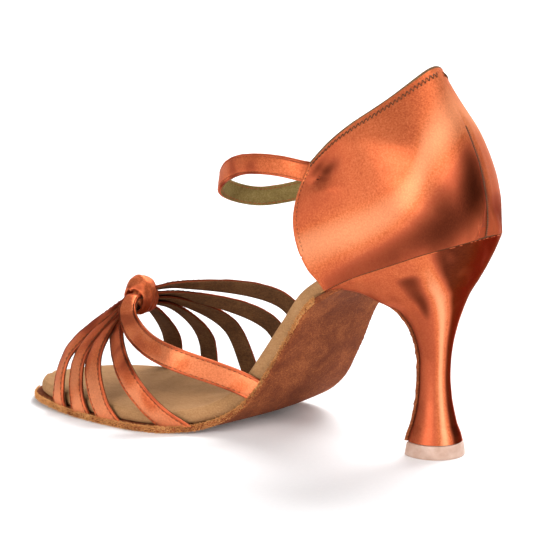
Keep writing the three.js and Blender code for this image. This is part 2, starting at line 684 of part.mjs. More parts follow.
const shoe = new THREE.Group();
shoe.add(piece('outsole', outsole(), suede));
shoe.add(piece('insole', insole(), lining));
shoe.add(piece('quarter', quarter(), satin));
shoe.add(piece('vamp_straps', vampStraps(), satin));
shoe.add(piece('knot', knot(), satin));
shoe.add(piece('ankle_strap', ankleStrap(), satin));
shoe.add(piece('heel', heel(), satin));
shoe.add(piece('heel_cap', heelCap(), plastic));

export default shoe;
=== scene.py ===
"""Looks of a ballroom dance shoe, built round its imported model.

Lengths are in millimetres until a mesh is made. +X runs to the toe, +Y to the inner side, +Z up.
"""

import math

import bmesh
import bpy
import numpy as np
from mathutils import Matrix, Vector


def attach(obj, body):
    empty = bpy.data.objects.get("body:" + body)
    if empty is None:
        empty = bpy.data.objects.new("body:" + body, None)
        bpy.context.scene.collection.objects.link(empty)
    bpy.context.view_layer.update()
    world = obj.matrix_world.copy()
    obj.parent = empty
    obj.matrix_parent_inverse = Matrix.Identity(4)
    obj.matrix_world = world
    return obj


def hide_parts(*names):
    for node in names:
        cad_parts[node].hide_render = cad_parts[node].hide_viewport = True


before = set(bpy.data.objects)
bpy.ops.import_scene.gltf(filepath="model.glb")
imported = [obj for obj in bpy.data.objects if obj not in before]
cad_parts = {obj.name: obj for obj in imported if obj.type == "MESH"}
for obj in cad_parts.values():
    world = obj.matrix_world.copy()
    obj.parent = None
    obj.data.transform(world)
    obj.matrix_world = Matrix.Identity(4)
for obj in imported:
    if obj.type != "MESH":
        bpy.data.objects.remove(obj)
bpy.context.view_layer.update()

# Named sizes, the same as the solids have
SHOE_LENGTH = 207.5
SEAT_OVERHANG = 19.5
BALL_WIDTH = 75.0
HEEL_HEIGHT = 82.0
TOE_SPRING = 1.5
OUTSOLE_THICKNESS = 2.4
FLAP_THICKNESS = 1.2
INSOLE_THICKNESS = 5.6
ARCH_LIFT = 2.0
WAIST_CROWN = 2.5
GAP = 0.3
QUARTER_WALL = 1.6
QUARTER_HEIGHT = 60.0
QUARTER_FRONT_HEIGHT = 47.0
QUARTER_FRONT_BULGE = 8.6
QUARTER_BACK_ROUND = 25.0
QUARTER_FAR_ROUND = 15.0
STRAP_WIDTH = 9.0
STRAP_THICKNESS = 1.5
VAMP_HEIGHT = 44.0
ANKLE_STRAP_WIDTH = 7.8
ANKLE_STRAP_THICKNESS = 1.8
ANKLE_LOOP_REACH = 61.5
ANKLE_STRAP_SEWN = 8.0
HEEL_TIP_WIDTH = 22.3
CAP_HEIGHT = 5.0

SEAT_BACK = -SEAT_OVERHANG
SEAT_WIDTH = 0.63 * BALL_WIDTH
SEAT_REACH = 0.173 * SHOE_LENGTH
SOLE_RIM = max(QUARTER_WALL, STRAP_THICKNESS) + 2 * GAP
BED_RISE = HEEL_HEIGHT - OUTSOLE_THICKNESS
WAIST_START, WAIST_END = 0.26, 0.58
SPRING_START = 0.78
HEEL_CORNER = math.radians(125)
KNOT_ALONG = 0.783

# The heel's table ends at this level; two rings over the cap follow: their width and height
HEEL_LEVELS = 12
TIP_SIZES = [(HEEL_TIP_WIDTH * 0.84, CAP_HEIGHT * 1.6), (HEEL_TIP_WIDTH * 0.9, CAP_HEIGHT + GAP)]

KNOT_CENTRE = np.array([142.0, 1.0, 46.3])
KNOT_REACH = 6.5
KNOT_RISE = 8.2
KNOT_WALL = 1.5

# The details
SATIN_LAYER = 0.85
PIPING_RADIUS = 0.80
FOLD_RADIUS = 0.82
FEATHER_RADIUS = 0.32
SEAM_RADIUS = 0.22
ZIGZAG_STEP = 0.85
ZIGZAG_ROWS = (0.974, 0.944)
RIM_PUSH = 0.6
RIM_FIBRE = 1.5
FRONT_STEPS = 8


class Table:
    """Named columns over a key, read with a smooth curve that never swings past its own rows."""

    def __init__(self, names, rows):
        self.rows = rows
        self.key = np.array([row[0] for row in rows], float)
        self.columns = {}
        for i, name in enumerate(names.split()[1:], start=1):
            value = np.array([row[i] for row in rows], float)
            self.columns[name] = (value, self.tangents(value))

    def tangents(self, value):
        slope = np.diff(value) / np.diff(self.key)
        before, after = slope[:-1], slope[1:]
        same = before * after > 0
        inner = np.where(same, 2 * before * after / np.where(same, before + after, 1), 0)
        return np.concatenate([slope[:1], inner, slope[-1:]])

    def at(self, name, where):
        value, tangent = self.columns[name]
        where = np.asarray(where, float)
        row = np.clip(np.searchsorted(self.key, where) - 1, 0, len(self.key) - 2)
        span = self.key[row + 1] - self.key[row]
        t = np.clip((where - self.key[row]) / span, 0, 1)
        a, b = tangent[row] * span, tangent[row + 1] * span
        start, end = value[row], value[row + 1]
        return start + t * a + t * t * (3 * (end - start) - 2 * a - b) + t**3 * (2 * (start - end) + a + b)


# The sole's outline as shares of the ball's width, and its rise as shares of the bed's rise
SOLE = Table("along near far near_rise far_rise", [
    (0.000, 0.080, -0.140, 1.000, 1.000),
    (0.009, 0.153, -0.215, 0.991, 0.991),
    (0.029, 0.227, -0.285, 0.974, 0.973),
    (0.065, 0.290, -0.326, 0.944, 0.938),
    (0.113, 0.314, -0.332, 0.897, 0.888),
    (0.190, 0.312, -0.322, 0.824, 0.812),
    (0.258, 0.290, -0.322, 0.742, 0.715),
    (0.306, 0.272, -0.340, 0.660, 0.582),
    (0.354, 0.253, -0.373, 0.490, 0.350),
    (0.402, 0.243, -0.424, 0.312, 0.172),
    (0.451, 0.264, -0.458, 0.146, 0.076),
    (0.499, 0.327, -0.474, 0.052, 0.028),
    (0.547, 0.407, -0.480, 0.012, 0.006),
    (0.605, 0.483, -0.483, 0.000, 0.000),
    (0.663, 0.511, -0.484, 0.000, 0.000),
    (0.730, 0.504, -0.467, 0.000, 0.000),
    (0.798, 0.480, -0.431, 0.000, 0.000),
    (0.856, 0.453, -0.384, 0.000, 0.000),
    (0.904, 0.416, -0.313, 0.000, 0.000),
    (0.942, 0.376, -0.220, 0.000, 0.000),
    (0.971, 0.325, -0.107, 0.000, 0.000),
    (0.991, 0.253, 0.013, 0.000, 0.000),
    (1.000, 0.213, 0.093, 0.000, 0.000),
])

# The heel's levels from the seat down
HEEL = Table("level back back_height front front_height half seat", [
    (0, 1.000, 1.000, 1.000, 0.732, 0.500, 1.00),
    (1, 0.925, 0.933, 0.788, 0.743, 0.476, 0.75),
    (2, 0.815, 0.860, 0.613, 0.732, 0.434, 0.50),
    (3, 0.705, 0.799, 0.448, 0.700, 0.387, 0.25),
    (4, 0.544, 0.732, 0.276, 0.667, 0.317, 0.10),
    (5, 0.431, 0.659, 0.178, 0.610, 0.254, 0.00),
    (6, 0.338, 0.579, 0.142, 0.545, 0.195, 0.00),
    (7, 0.277, 0.500, 0.131, 0.485, 0.152, 0.00),
    (8, 0.246, 0.427, 0.128, 0.427, 0.129, 0.00),
    (9, 0.236, 0.354, 0.131, 0.354, 0.127, 0.00),
    (10, 0.262, 0.268, 0.139, 0.268, 0.135, 0.00),
    (11, 0.313, 0.201, 0.153, 0.201, 0.154, 0.00),
    (12, 0.369, 0.140, 0.178, 0.140, 0.173, 0.00),
])

QUARTER = Table("rise lean half", [
    (0.00, 0.000, 0.490),
    (0.10, -0.036, 0.515),
    (0.20, -0.020, 0.536),
    (0.32, 0.045, 0.540),
    (0.44, 0.140, 0.520),
    (0.55, 0.275, 0.500),
    (0.66, 0.430, 0.455),
    (0.83, 0.745, 0.370),
    (1.00, 1.040, 0.290),
])

# The straps: side, foot, knee, its side and rise, mouth, its side and rise
STRAPS = [
    (1, 0.868, 0.881, 0.320, 0.47, 0.812, 0.125, 0.890),
    (1, 0.800, 0.834, 0.360, 0.48, 0.808, 0.135, 0.860),
    (1, 0.720, 0.784, 0.407, 0.48, 0.803, 0.142, 0.815),
    (1, 0.572, 0.680, 0.470, 0.43, 0.798, 0.147, 0.790),
    (1, 0.428, 0.560, 0.450, 0.63, 0.744, 0.245, 0.900),
    (-1, 0.832, 0.821, 0.392, 0.41, 0.800, 0.187, 0.770),
    (-1, 0.735, 0.749, 0.453, 0.46, 0.757, 0.215, 0.830),
    (-1, 0.610, 0.680, 0.443, 0.61, 0.739, 0.173, 0.920),
    (-1, 0.480, 0.579, 0.445, 0.69, 0.722, 0.170, 0.980),
    (-1, 0.405, 0.530, 0.395, 0.94, 0.718, 0.140, 1.090),
]

# The ankle loop: reach, side and drop
ANKLE = [
    (0.13, 0.462, -0.05),
    (0.29, 0.485, -0.25),
    (0.49, 0.460, -0.28),
    (0.66, 0.390, -0.10),
    (0.84, 0.260, 0.40),
    (0.97, 0.100, 1.10),
    (1.00, -0.130, 1.65),
    (0.92, -0.340, 1.97),
    (0.76, -0.480, 1.80),
    (0.50, -0.510, 1.22),
    (0.27, -0.480, 0.60),
    (0.13, -0.462, 0.15),
]


def lerp(a, b, t):
    return a + (b - a) * t


def ease(value, low, high):
    t = np.clip((value - low) / (high - low), 0, 1)
    return t * t * (3 - 2 * t)


def unit(vectors):
    return vectors / np.maximum(np.linalg.norm(vectors, axis=-1, keepdims=True), 1e-9)


def lengths(path, axis=0):
    """How far each point lies along its path."""
    steps = np.diff(path, axis=axis, prepend=path.take([0], axis))
    return np.cumsum(np.linalg.norm(steps, axis=-1), axis=axis)


def interp(where, keys, points):
    return np.stack([np.interp(where, keys, points[:, k]) for k in range(3)], axis=-1)


def stack(x, y, z):
    return np.stack(np.broadcast_arrays(x, y, z), axis=-1).astype(float)


def x_at(along):
    return SEAT_BACK + along * SHOE_LENGTH


def along_at(x):
    return (x - SEAT_BACK) / SHOE_LENGTH


def hill(value, centre, width):
    """A soft bump of height 1."""
    return np.exp(-(((value - centre) / width) ** 2))


def ripple(points, wavelength, seed):
    """Soft noise, mostly between -1 and 1."""
    rng = np.random.default_rng(seed)
    directions = unit(rng.normal(size=(11, 3)))
    stretch = rng.uniform(0.6, 1.7, 11)
    phases = rng.uniform(0, 2 * math.pi, 11)
    angle = points @ directions.T * stretch * 2 * math.pi / wavelength + phases
    return np.sin(angle).sum(-1) / 4.0


# The sole's top face


def waist(along):
    t = np.clip((along - WAIST_START) / (WAIST_END - WAIST_START), 0, 1)
    return np.sin(math.pi * t) ** 2


def bed_height(x, across):
    along = along_at(x)
    rise = lerp(SOLE.at("far_rise", along), SOLE.at("near_rise", along), (across + 1) / 2) * BED_RISE
    crown = WAIST_CROWN * waist(along) * (1 - across * across)
    return OUTSOLE_THICKNESS + rise - crown + TOE_SPRING * ease(along, SPRING_START, 1)


def edge(along, side, inset):
    """x and y of the outline, moved inward by inset."""
    step = 0.004
    before, after = np.maximum(0, along - step), np.minimum(1, along + step)
    pick = lambda where: np.where(np.asarray(side) > 0, SOLE.at("near", where), SOLE.at("far", where))
    dx = (after - before) * SHOE_LENGTH
    dy = (pick(after) - pick(before)) * BALL_WIDTH
    length = np.hypot(dx, dy)
    return x_at(along) + side * dy * inset / length, pick(along) * BALL_WIDTH - side * dx * inset / length


def across_at(x, y):
    near = edge(along_at(x), 1, 0)[1]
    far = edge(along_at(x), -1, 0)[1]
    return np.clip(2 * (y - far) / (near - far) - 1, -1, 1)


def bed_normal(x):
    slope = (bed_height(x + 1, 0) - bed_height(x - 1, 0)) / 2
    return unit(stack(-slope, 0, np.ones_like(slope)))


def bed_point(along, across, inset):
    near_x, near_y = edge(along, 1, inset)
    far_x, far_y = edge(along, -1, inset)
    x = lerp(far_x, near_x, (across + 1) / 2)
    y = lerp(far_y, near_y, (across + 1) / 2)
    return stack(x, y, bed_height(x, across))


# Meshes


def add_object(name, data):
    made = bpy.data.objects.new(name, data)
    bpy.context.collection.objects.link(made)
    return made


class Shape:
    """Collects the faces of one piece, then makes it."""

    def __init__(self):
        self.points, self.faces, self.uvs, self.tones, self.count = [], [], [], [], 0

    def add(self, points, faces, uvs, tone=0.0):
        points = np.asarray(points, float).reshape(-1, 3)
        self.points.append(points)
        self.tones.append(np.broadcast_to(np.ravel(tone), len(points)))
        self.uvs.append(np.asarray(uvs, float).reshape(-1, 2))
        self.faces += [tuple(int(i) + self.count for i in face) for face in faces]
        self.count += len(points)

    def grid(self, grid, wrap=False, caps=False, tone=0.0):
        """Rows of points. With wrap, each row is a ring; with caps, both ends are closed with a fan."""
        tone = np.broadcast_to(tone, grid.shape[:2])
        if wrap:
            grid = np.concatenate([grid, grid[:, :1]], axis=1)
            tone = np.concatenate([tone, tone[:, :1]], axis=1)
        rows, columns = grid.shape[:2]
        v = np.concatenate([[0], np.cumsum(np.linalg.norm(np.diff(grid, axis=0), axis=-1).mean(1))])
        u = np.concatenate([[0], np.cumsum(np.linalg.norm(np.diff(grid, axis=1), axis=-1).mean(0))])
        uvs = np.stack(np.meshgrid(u, v), axis=-1) / 1000
        here = np.arange(rows * columns).reshape(rows, columns)
        quads = np.stack([here[:-1, :-1], here[:-1, 1:], here[1:, 1:], here[1:, :-1]], axis=-1).reshape(-1, 4)
        self.add(grid, quads, uvs, tone)
        if caps:
            for row, turn in ((grid[0], -1), (grid[-1], 1)):
                ring = row[:-1] if wrap else row
                hub = len(ring)
                pairs = [(hub, i, (i + 1) % hub) for i in range(hub)]
                self.add(np.vstack([ring, ring.mean(0)]), [f[::turn] for f in pairs], np.zeros((hub + 1, 2)))

    def make(self, name, material, slot, nodes, sharp=60):
        mesh = bpy.data.meshes.new(name)
        points = np.concatenate(self.points) / 1000
        mesh.from_pydata(points.tolist(), [], self.faces)
        uvs = np.concatenate(self.uvs)
        corners = np.empty(len(mesh.loops), int)
        mesh.loops.foreach_get("vertex_index", corners)
        mesh.uv_layers.new(name="flat").data.foreach_set("uv", uvs[corners].ravel())
        # The tone attribute holds painted shade above 0 and a painted highlight below 0, read by the satin
        mesh.attributes.new("tone", "FLOAT", "POINT").data.foreach_set("value", np.concatenate(self.tones))
        work = bmesh.new()
        work.from_mesh(mesh)
        bmesh.ops.remove_doubles(work, verts=work.verts, dist=2e-6)
        bmesh.ops.dissolve_degenerate(work, edges=work.edges, dist=1e-6)
        bmesh.ops.recalc_face_normals(work, faces=work.faces)
        work.to_mesh(mesh)
        work.free()
        mesh.shade_smooth()
        mesh.set_sharp_from_angle(angle=math.radians(sharp))
        mesh.materials.append(material)
        piece = add_object(name, mesh)
        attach(piece, "root")
        if nodes:
            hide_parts(*nodes)
        return piece


def along_path(path):
    """Tangents of a path of points."""
    return unit(np.gradient(path, axis=0))


def tube(shape, path, radius, sides=8, caps=True):
    tangent = along_path(path)
    up = np.where(np.abs(tangent[:, 2:]) > 0.9, [[1.0, 0, 0]], [[0, 0, 1.0]])
    across = unit(np.cross(tangent, up))
    out = np.cross(across, tangent)
    turn = np.arange(sides) * 2 * math.pi / sides
    radius = np.broadcast_to(radius, len(path))[:, None, None]
    ring = across[:, None] * np.cos(turn)[None, :, None] + out[:, None] * np.sin(turn)[None, :, None]
    shape.grid(path[:, None] + ring * radius, wrap=True, caps=caps)


def resample(path, spacing):
    """The path's points at an even spacing."""
    length = lengths(path)
    count = max(2, int(round(length[-1] / spacing)) + 1)
    return interp(np.linspace(0, length[-1], count), length, path)


def stitches(shape, path, lift, stitch=1.9, gap=0.7, radius=0.2):
    """A row of threads on a path. lift gives the way out at each point."""
    spacing = 0.2
    fine = resample(path, spacing)
    out = unit(interp(np.linspace(0, 1, len(fine)), np.linspace(0, 1, len(lift)), lift))
    step, length = int(round((stitch + gap) / spacing)), int(round(stitch / spacing))
    bow = np.array([-0.15, 0.12, 0.18, 0.12, -0.15])[:, None]
    for start in range(0, len(fine) - length, step):
        spots = start + np.array([0, length // 4, length // 2, 3 * length // 4, length])
        tube(shape, fine[spots] + out[spots] * bow, np.array([0.6, 1, 1, 1, 0.6]) * radius, sides=5)


def fibres(shape, base, way, length, radius, rng):
    """Short loose fibres, one on each base point."""
    count = len(base)
    way = unit(way + rng.normal(scale=0.45, size=(count, 3)))
    side = unit(np.cross(way, rng.normal(size=(count, 3))))
    third = np.cross(way, side)
    size = length * rng.uniform(0.35, 1.0, count)[:, None]
    feet = [base + radius * (math.cos(a) * side + math.sin(a) * third) for a in (0, 2.094, 4.189)]
    points = np.stack([*feet, base + way * size], axis=1)
    points[..., 2] = np.maximum(points[..., 2], 0.02)
    start = np.arange(count)[:, None] * 4
    faces = np.concatenate([start + np.array(f) for f in ((0, 1, 3), (1, 2, 3), (2, 0, 3), (2, 1, 0))])
    shape.add(points, faces, np.zeros((count * 4, 2)))


# Curves and flat straps


def spline(points, t):
    """The curve that the solids' straps follow: a centripetal Catmull-Rom curve."""
    points = np.asarray(points, float)
    last = len(points) - 1
    whole = np.vstack([2 * points[0] - points[1], points, 2 * points[-1] - points[-2]])
    place = np.clip(np.asarray(t, float), 0, 1) * last
    row = np.minimum(place.astype(int), last - 1)
    w = (place - row)[..., None]
    p0, p1, p2, p3 = (whole[row + k] for k in range(4))
    d0, d1, d2 = (np.maximum(np.linalg.norm(b - a, axis=-1, keepdims=True) ** 0.5, 1e-4)
                  for a, b in ((p0, p1), (p1, p2), (p2, p3)))
    a = ((p1 - p0) / d0 - (p2 - p0) / (d0 + d1) + (p2 - p1) / d1) * d1
    b = ((p2 - p1) / d1 - (p3 - p1) / (d1 + d2) + (p3 - p2) / d2) * d1
    return p1 + a * w + (-3 * p1 + 3 * p2 - 2 * a - b) * w**2 + (2 * p1 - 2 * p2 + a + b) * w**3


def strap_frame(points, t, facing):
    centre = spline(points, t)
    tangent = unit(spline(points, t + 0.004) - spline(points, t - 0.004))
    across = unit(np.cross(tangent, facing(centre, t)))
    return centre, tangent, across, unit(np.cross(across, tangent))


# Half of a strap's section, from the middle of its outer face round the folded edge: across, out
STRAP_SECTION = [
    (0.00, 0.50), (0.12, 0.50), (0.24, 0.49), (0.31, 0.46), (0.355, 0.42), (0.375, 0.36), (0.395, 0.41),
    (0.43, 0.44), (0.465, 0.38), (0.488, 0.24), (0.5, 0.05), (0.494, -0.16), (0.475, -0.33), (0.44, -0.42),
]
STRAP_BACK = [(0.40, -0.42), (0.2, -0.42), (0.0, -0.42)]


def closed_section(half):
    whole = half + [(-w, h) for w, h in reversed(half) if w > 1e-6]
    return np.array(whole)


SATIN_SECTION = closed_section(STRAP_SECTION + STRAP_BACK)
LINING_SECTION = closed_section([(0.0, -0.40), (0.2, -0.40), (0.44, -0.36), (0.487, -0.34), (0.495, -0.44),
                                 (0.47, -0.55), (0.2, -0.57), (0.0, -0.57)])
# The columns of the folded edges, which get painted shade
STRAP_EDGE_PAINTED_SHADE = np.abs(SATIN_SECTION[:, 0]) > 0.36
STITCH_LINE = 0.375


def strap_grid(points, start, steps, section, width, thickness, facing, cup=None, end=1.0):
    """Rows of a strap's section along its curve. start gives where each column begins."""
    share = np.linspace(0, 1, steps)[:, None]
    begin = start(section[:, 0])[None, :]
    t = begin + (end - begin) * share
    centre, tangent, across, out = strap_frame(points, t, facing)
    w = section[:, 0][None, :, None] * width(t)[..., None]
    h = section[:, 1][None, :, None] * thickness
    if cup is not None:
        h = h - cup(t)[..., None] * (w / STRAP_WIDTH) ** 2 * 4
    return centre + across * w + out * h


# Materials


class Graph:
    """Short words for a material's nodes."""

    def __init__(self, name):
        self.material = bpy.data.materials.new(name)
        self.material.use_nodes = True
        self.tree = self.material.node_tree
        self.shader = self.tree.nodes["Principled BSDF"]

    def feed(self, socket, value):
        """Links another node's output to the socket, or sets a constant."""
        if isinstance(value, bpy.types.NodeSocket):
            self.tree.links.new(value, socket)
        else:
            socket.default_value = value

    def node(self, kind, inputs=None, **options):
        made = self.tree.nodes.new("ShaderNode" + kind)
        for key, value in options.items():
            setattr(made, key, value)
        for key, value in (inputs or {}).items():
            self.feed(made.inputs[key], value)
        return made

    def set(self, **values):
        for key, value in values.items():
            self.feed(self.shader.inputs[key.replace("_", " ")], value)

    def place(self, stretch=(1, 1, 1), uv=False):
        source = self.node("TexCoord").outputs["UV" if uv else "Object"]
        return self.node("Mapping", {"Vector": source, "Scale": stretch}).outputs["Vector"]

    def noise(self, scale, where, detail=3.0, rough=0.55, distort=0.0):
        return self.node("TexNoise", {"Vector": where, "Scale": scale, "Detail": detail,
                                      "Roughness": rough, "Distortion": distort}).outputs["Fac"]

    def steps(self, value, stops):
        ramp = self.node("ValToRGB", {"Fac": value})
        while len(ramp.color_ramp.elements) < len(stops):
            ramp.color_ramp.elements.new(0.5)
        for element, (at, colour) in zip(ramp.color_ramp.elements, stops):
            element.position = at
            element.color = (*colour, 1)
        return ramp.outputs["Color"]

    def span(self, value, low, high, to_low=0.0, to_high=1.0):
        return self.node("MapRange", {"Value": value, "From Min": low, "From Max": high,
                                      "To Min": to_low, "To Max": to_high}).outputs["Result"]

    def math(self, operation, a, b):
        return self.node("Math", {0: a, 1: b}, operation=operation).outputs["Value"]

    def weigh(self, *parts):
        """The sum of some values, each times its share."""
        scaled = [self.math("MULTIPLY", value, share) for value, share in parts]
        total = scaled[0]
        for value in scaled[1:]:
            total = self.math("ADD", total, value)
        return total

    def mix(self, factor, a, b):
        return self.node("Mix", {0: factor, 6: a, 7: b}, data_type="RGBA").outputs[2]

    def bump(self, height, strength, distance, normal=None):
        inputs = {"Height": height, "Strength": strength, "Distance": distance}
        if normal is not None:
            inputs["Normal"] = normal
        return self.node("Bump", inputs).outputs["Normal"]


# Satin colours for painted shade, painted deep shade and a painted highlight
SATIN_PAINTED_SHADE = (0.42, 0.072, 0.034, 1)
SATIN_PAINTED_DEEP_SHADE = (0.060, 0.010, 0.0050, 1)
SATIN_PAINTED_HIGHLIGHT = (0.98, 0.46, 0.23, 1)


def satin_material(name, deep, mid, light):
    """Satin: long floats of thread over a fine weave, with soft broad gloss, and shade and highlight painted
    in from the tone attribute.
    """
    g = Graph(name)
    solid = g.place()
    mottle = g.noise(1500, solid, 3, 0.7)
    tone = g.weigh((g.noise(38, solid, 3, 0.55), 0.35), (mottle, 0.65))
    colour = g.steps(tone, [(0.36, deep), (0.5, mid), (0.64, light)])
    # Painted light: the tone attribute mixes in painted shade above 0, deep painted shade towards 1, and a
    # painted highlight below 0
    turned = g.node("Attribute", attribute_name="tone").outputs["Fac"]
    colour = g.mix(g.span(turned, 0.0, 0.5, 0.0, 0.7), colour, SATIN_PAINTED_SHADE)
    colour = g.mix(g.span(turned, 0.3, 1.0), colour, SATIN_PAINTED_DEEP_SHADE)
    colour = g.mix(g.math("MULTIPLY", turned, -1.0), colour, SATIN_PAINTED_HIGHLIGHT)
    floats = g.noise(1.0, g.place((900, 5200, 1), uv=True), 2, 0.6)
    grain = g.noise(1.0, g.place((3800, 1500, 1), uv=True), 2, 0.7)
    weave = g.weigh((floats, 0.6), (grain, 0.4))
    colour = g.mix(g.span(weave, 0.35, 0.65, 0.0, 0.22), colour, (*[c * 0.55 for c in mid], 1))
    gloss = g.span(g.weigh((mottle, 1.0), (weave, 0.5)), 0.5, 1.0, 0.33, 0.49)
    soft = g.bump(g.noise(120, solid, 3, 0.5), 0.25, 0.0006)
    # The metallic share rises with the painted shade, so the painted shade keeps no pale gloss
    g.set(Base_Color=colour, Roughness=gloss, Metallic=g.span(turned, 0.0, 1.0, 0.55, 1.0))
    g.set(Normal=g.bump(weave, 0.32, 0.00018, soft), Specular_Tint=(0.66, 0.34, 0.22, 1))
    g.set(Sheen_Weight=0.03, Sheen_Roughness=0.35, Sheen_Tint=(1.0, 0.62, 0.40, 1), Anisotropic=0.3)
    return g.material


def suede_material(name, dark, mid, pale, nap, bump):
    """Suede: brushed fibres in patches, with no gloss."""
    g = Graph(name)
    solid = g.place()
    patch = g.noise(85, solid, 4, 0.6, 0.6)
    brushed = g.noise(1.0, g.place((420, 1500, 1500)), 3, 0.6, 0.4)
    fibre = g.noise(1700, solid, 4, 0.75)
    tone = g.weigh((patch, 0.3), (brushed, 0.25), (fibre, 0.45))
    height = g.weigh((fibre, 0.6), (brushed, 0.4))
    g.set(Base_Color=g.steps(tone, [(0.38, dark), (0.5, mid), (0.62, pale)]))
    g.set(Roughness=g.span(tone, 0.3, 0.7, 0.88, 0.98), Normal=g.bump(height, bump, 0.0004))
    g.set(Sheen_Weight=nap, Sheen_Roughness=0.6, Sheen_Tint=(*pale, 1), Specular_IOR_Level=0.15)
    return g.material


def thread_material(name, colour):
    """Sewing thread: a tight twist with a slight shine."""
    g = Graph(name)
    twist = g.noise(1.0, g.place((2600, 2600, 6000)), 2, 0.6)
    dark = tuple(c * 0.55 for c in colour)
    g.set(Base_Color=g.steps(twist, [(0.35, dark), (0.6, colour)]), Specular_IOR_Level=0.15)
    g.set(Roughness=g.span(twist, 0.3, 0.7, 0.5, 0.7), Normal=g.bump(twist, 0.4, 0.0001))
    return g.material


def plastic_material(name):
    """Pale, slightly clear plastic with rubbed edges."""
    g = Graph(name)
    solid = g.place()
    cloud = g.noise(220, solid, 3, 0.6)
    scuff = g.noise(1.0, g.place((900, 900, 300)), 4, 0.7)
    g.set(Base_Color=g.steps(cloud, [(0.3, (0.42, 0.26, 0.19)), (0.5, (0.49, 0.32, 0.245)),
                                     (0.7, (0.56, 0.385, 0.305))]))
    g.set(Roughness=g.span(scuff, 0.3, 0.7, 0.28, 0.48), Normal=g.bump(scuff, 0.12, 0.0003))
    g.set(Subsurface_Weight=0.12, Subsurface_Radius=(0.004, 0.002, 0.0012), Subsurface_Scale=1.0, IOR=1.5)
    return g.material


SATIN = satin_material("satin", (0.42, 0.078, 0.025), (0.60, 0.138, 0.046), (0.74, 0.22, 0.085))
SUEDE, NAP, LINING, VAMP_LINING, ANKLE_LINING, PIPING = (suede_material(*row) for row in [
    ("sole_suede", (0.09, 0.020, 0.007), (0.20, 0.050, 0.017), (0.38, 0.12, 0.038), 0.05, 0.5),
    ("sole_nap", (0.38, 0.14, 0.045), (0.70, 0.33, 0.11), (0.95, 0.62, 0.27), 0.2, 0.5),
    ("insole_cover", (0.26, 0.135, 0.056), (0.36, 0.185, 0.078), (0.43, 0.24, 0.11), 0.15, 0.3),
    ("vamp_lining", (0.055, 0.024, 0.010), (0.10, 0.045, 0.018), (0.16, 0.078, 0.031), 0.2, 0.4),
    ("ankle_lining", (0.13, 0.085, 0.026), (0.20, 0.14, 0.045), (0.28, 0.20, 0.075), 0.2, 0.4),
    ("piping", (0.075, 0.038, 0.018), (0.14, 0.075, 0.035), (0.22, 0.125, 0.06), 0.1, 0.3),
])
THREAD = thread_material("thread", (0.40, 0.09, 0.03))
DARK_THREAD = thread_material("dark_thread", (0.14, 0.055, 0.022))
PLASTIC = plastic_material("cap_plastic")


# Outsole

ROUND = np.linspace(0, math.pi, 7)[1:-1]


def sole_section(columns):
    """v along the top, then the rounded edge, then the underside. Rows of v, depth and outward push."""
    top = [(v, 0.0, 0.0) for v in np.linspace(1, -1, columns)]
    far = [(-1, (1 - math.cos(a)) / 2, math.sin(a)) for a in ROUND]
    under = [(v, 1.0, 0.0) for v in np.linspace(-1, 1, columns)]
    near = [(1, (1 + math.cos(a)) / 2, math.sin(a)) for a in ROUND]
    return np.array(top + far + under + near)


def heel_line(level, side):
    """The front corner of the heel at a level of its table, on one side."""
    half = HEEL.at("half", level) * SEAT_WIDTH
    seat = HEEL.at("seat", level)
    outline = edge(along_at(SEAT_REACH), side, 0)[1] * HEEL.at("half", level) * 2
    x = HEEL.at("front", level) * SEAT_REACH
    y = lerp(side * math.sin(HEEL_CORNER) * half, outline, seat)
    chord = HEEL.rows[0][4] * HEEL_HEIGHT
    level_height = HEEL.at("front_height", level) * HEEL_HEIGHT
    return stack(x, y, level_height + seat * (bed_height(x, across_at(x, y)) - chord))


def breast_rows():
    """The heel's front face, from the seat down: its near and far corners."""
    level = np.linspace(0, HEEL_LEVELS, 90)
    return [np.vstack([heel_line(level, side), *(tip_ring(*size, np.array([side])) for size in TIP_SIZES)])
            for side in (1, -1)]


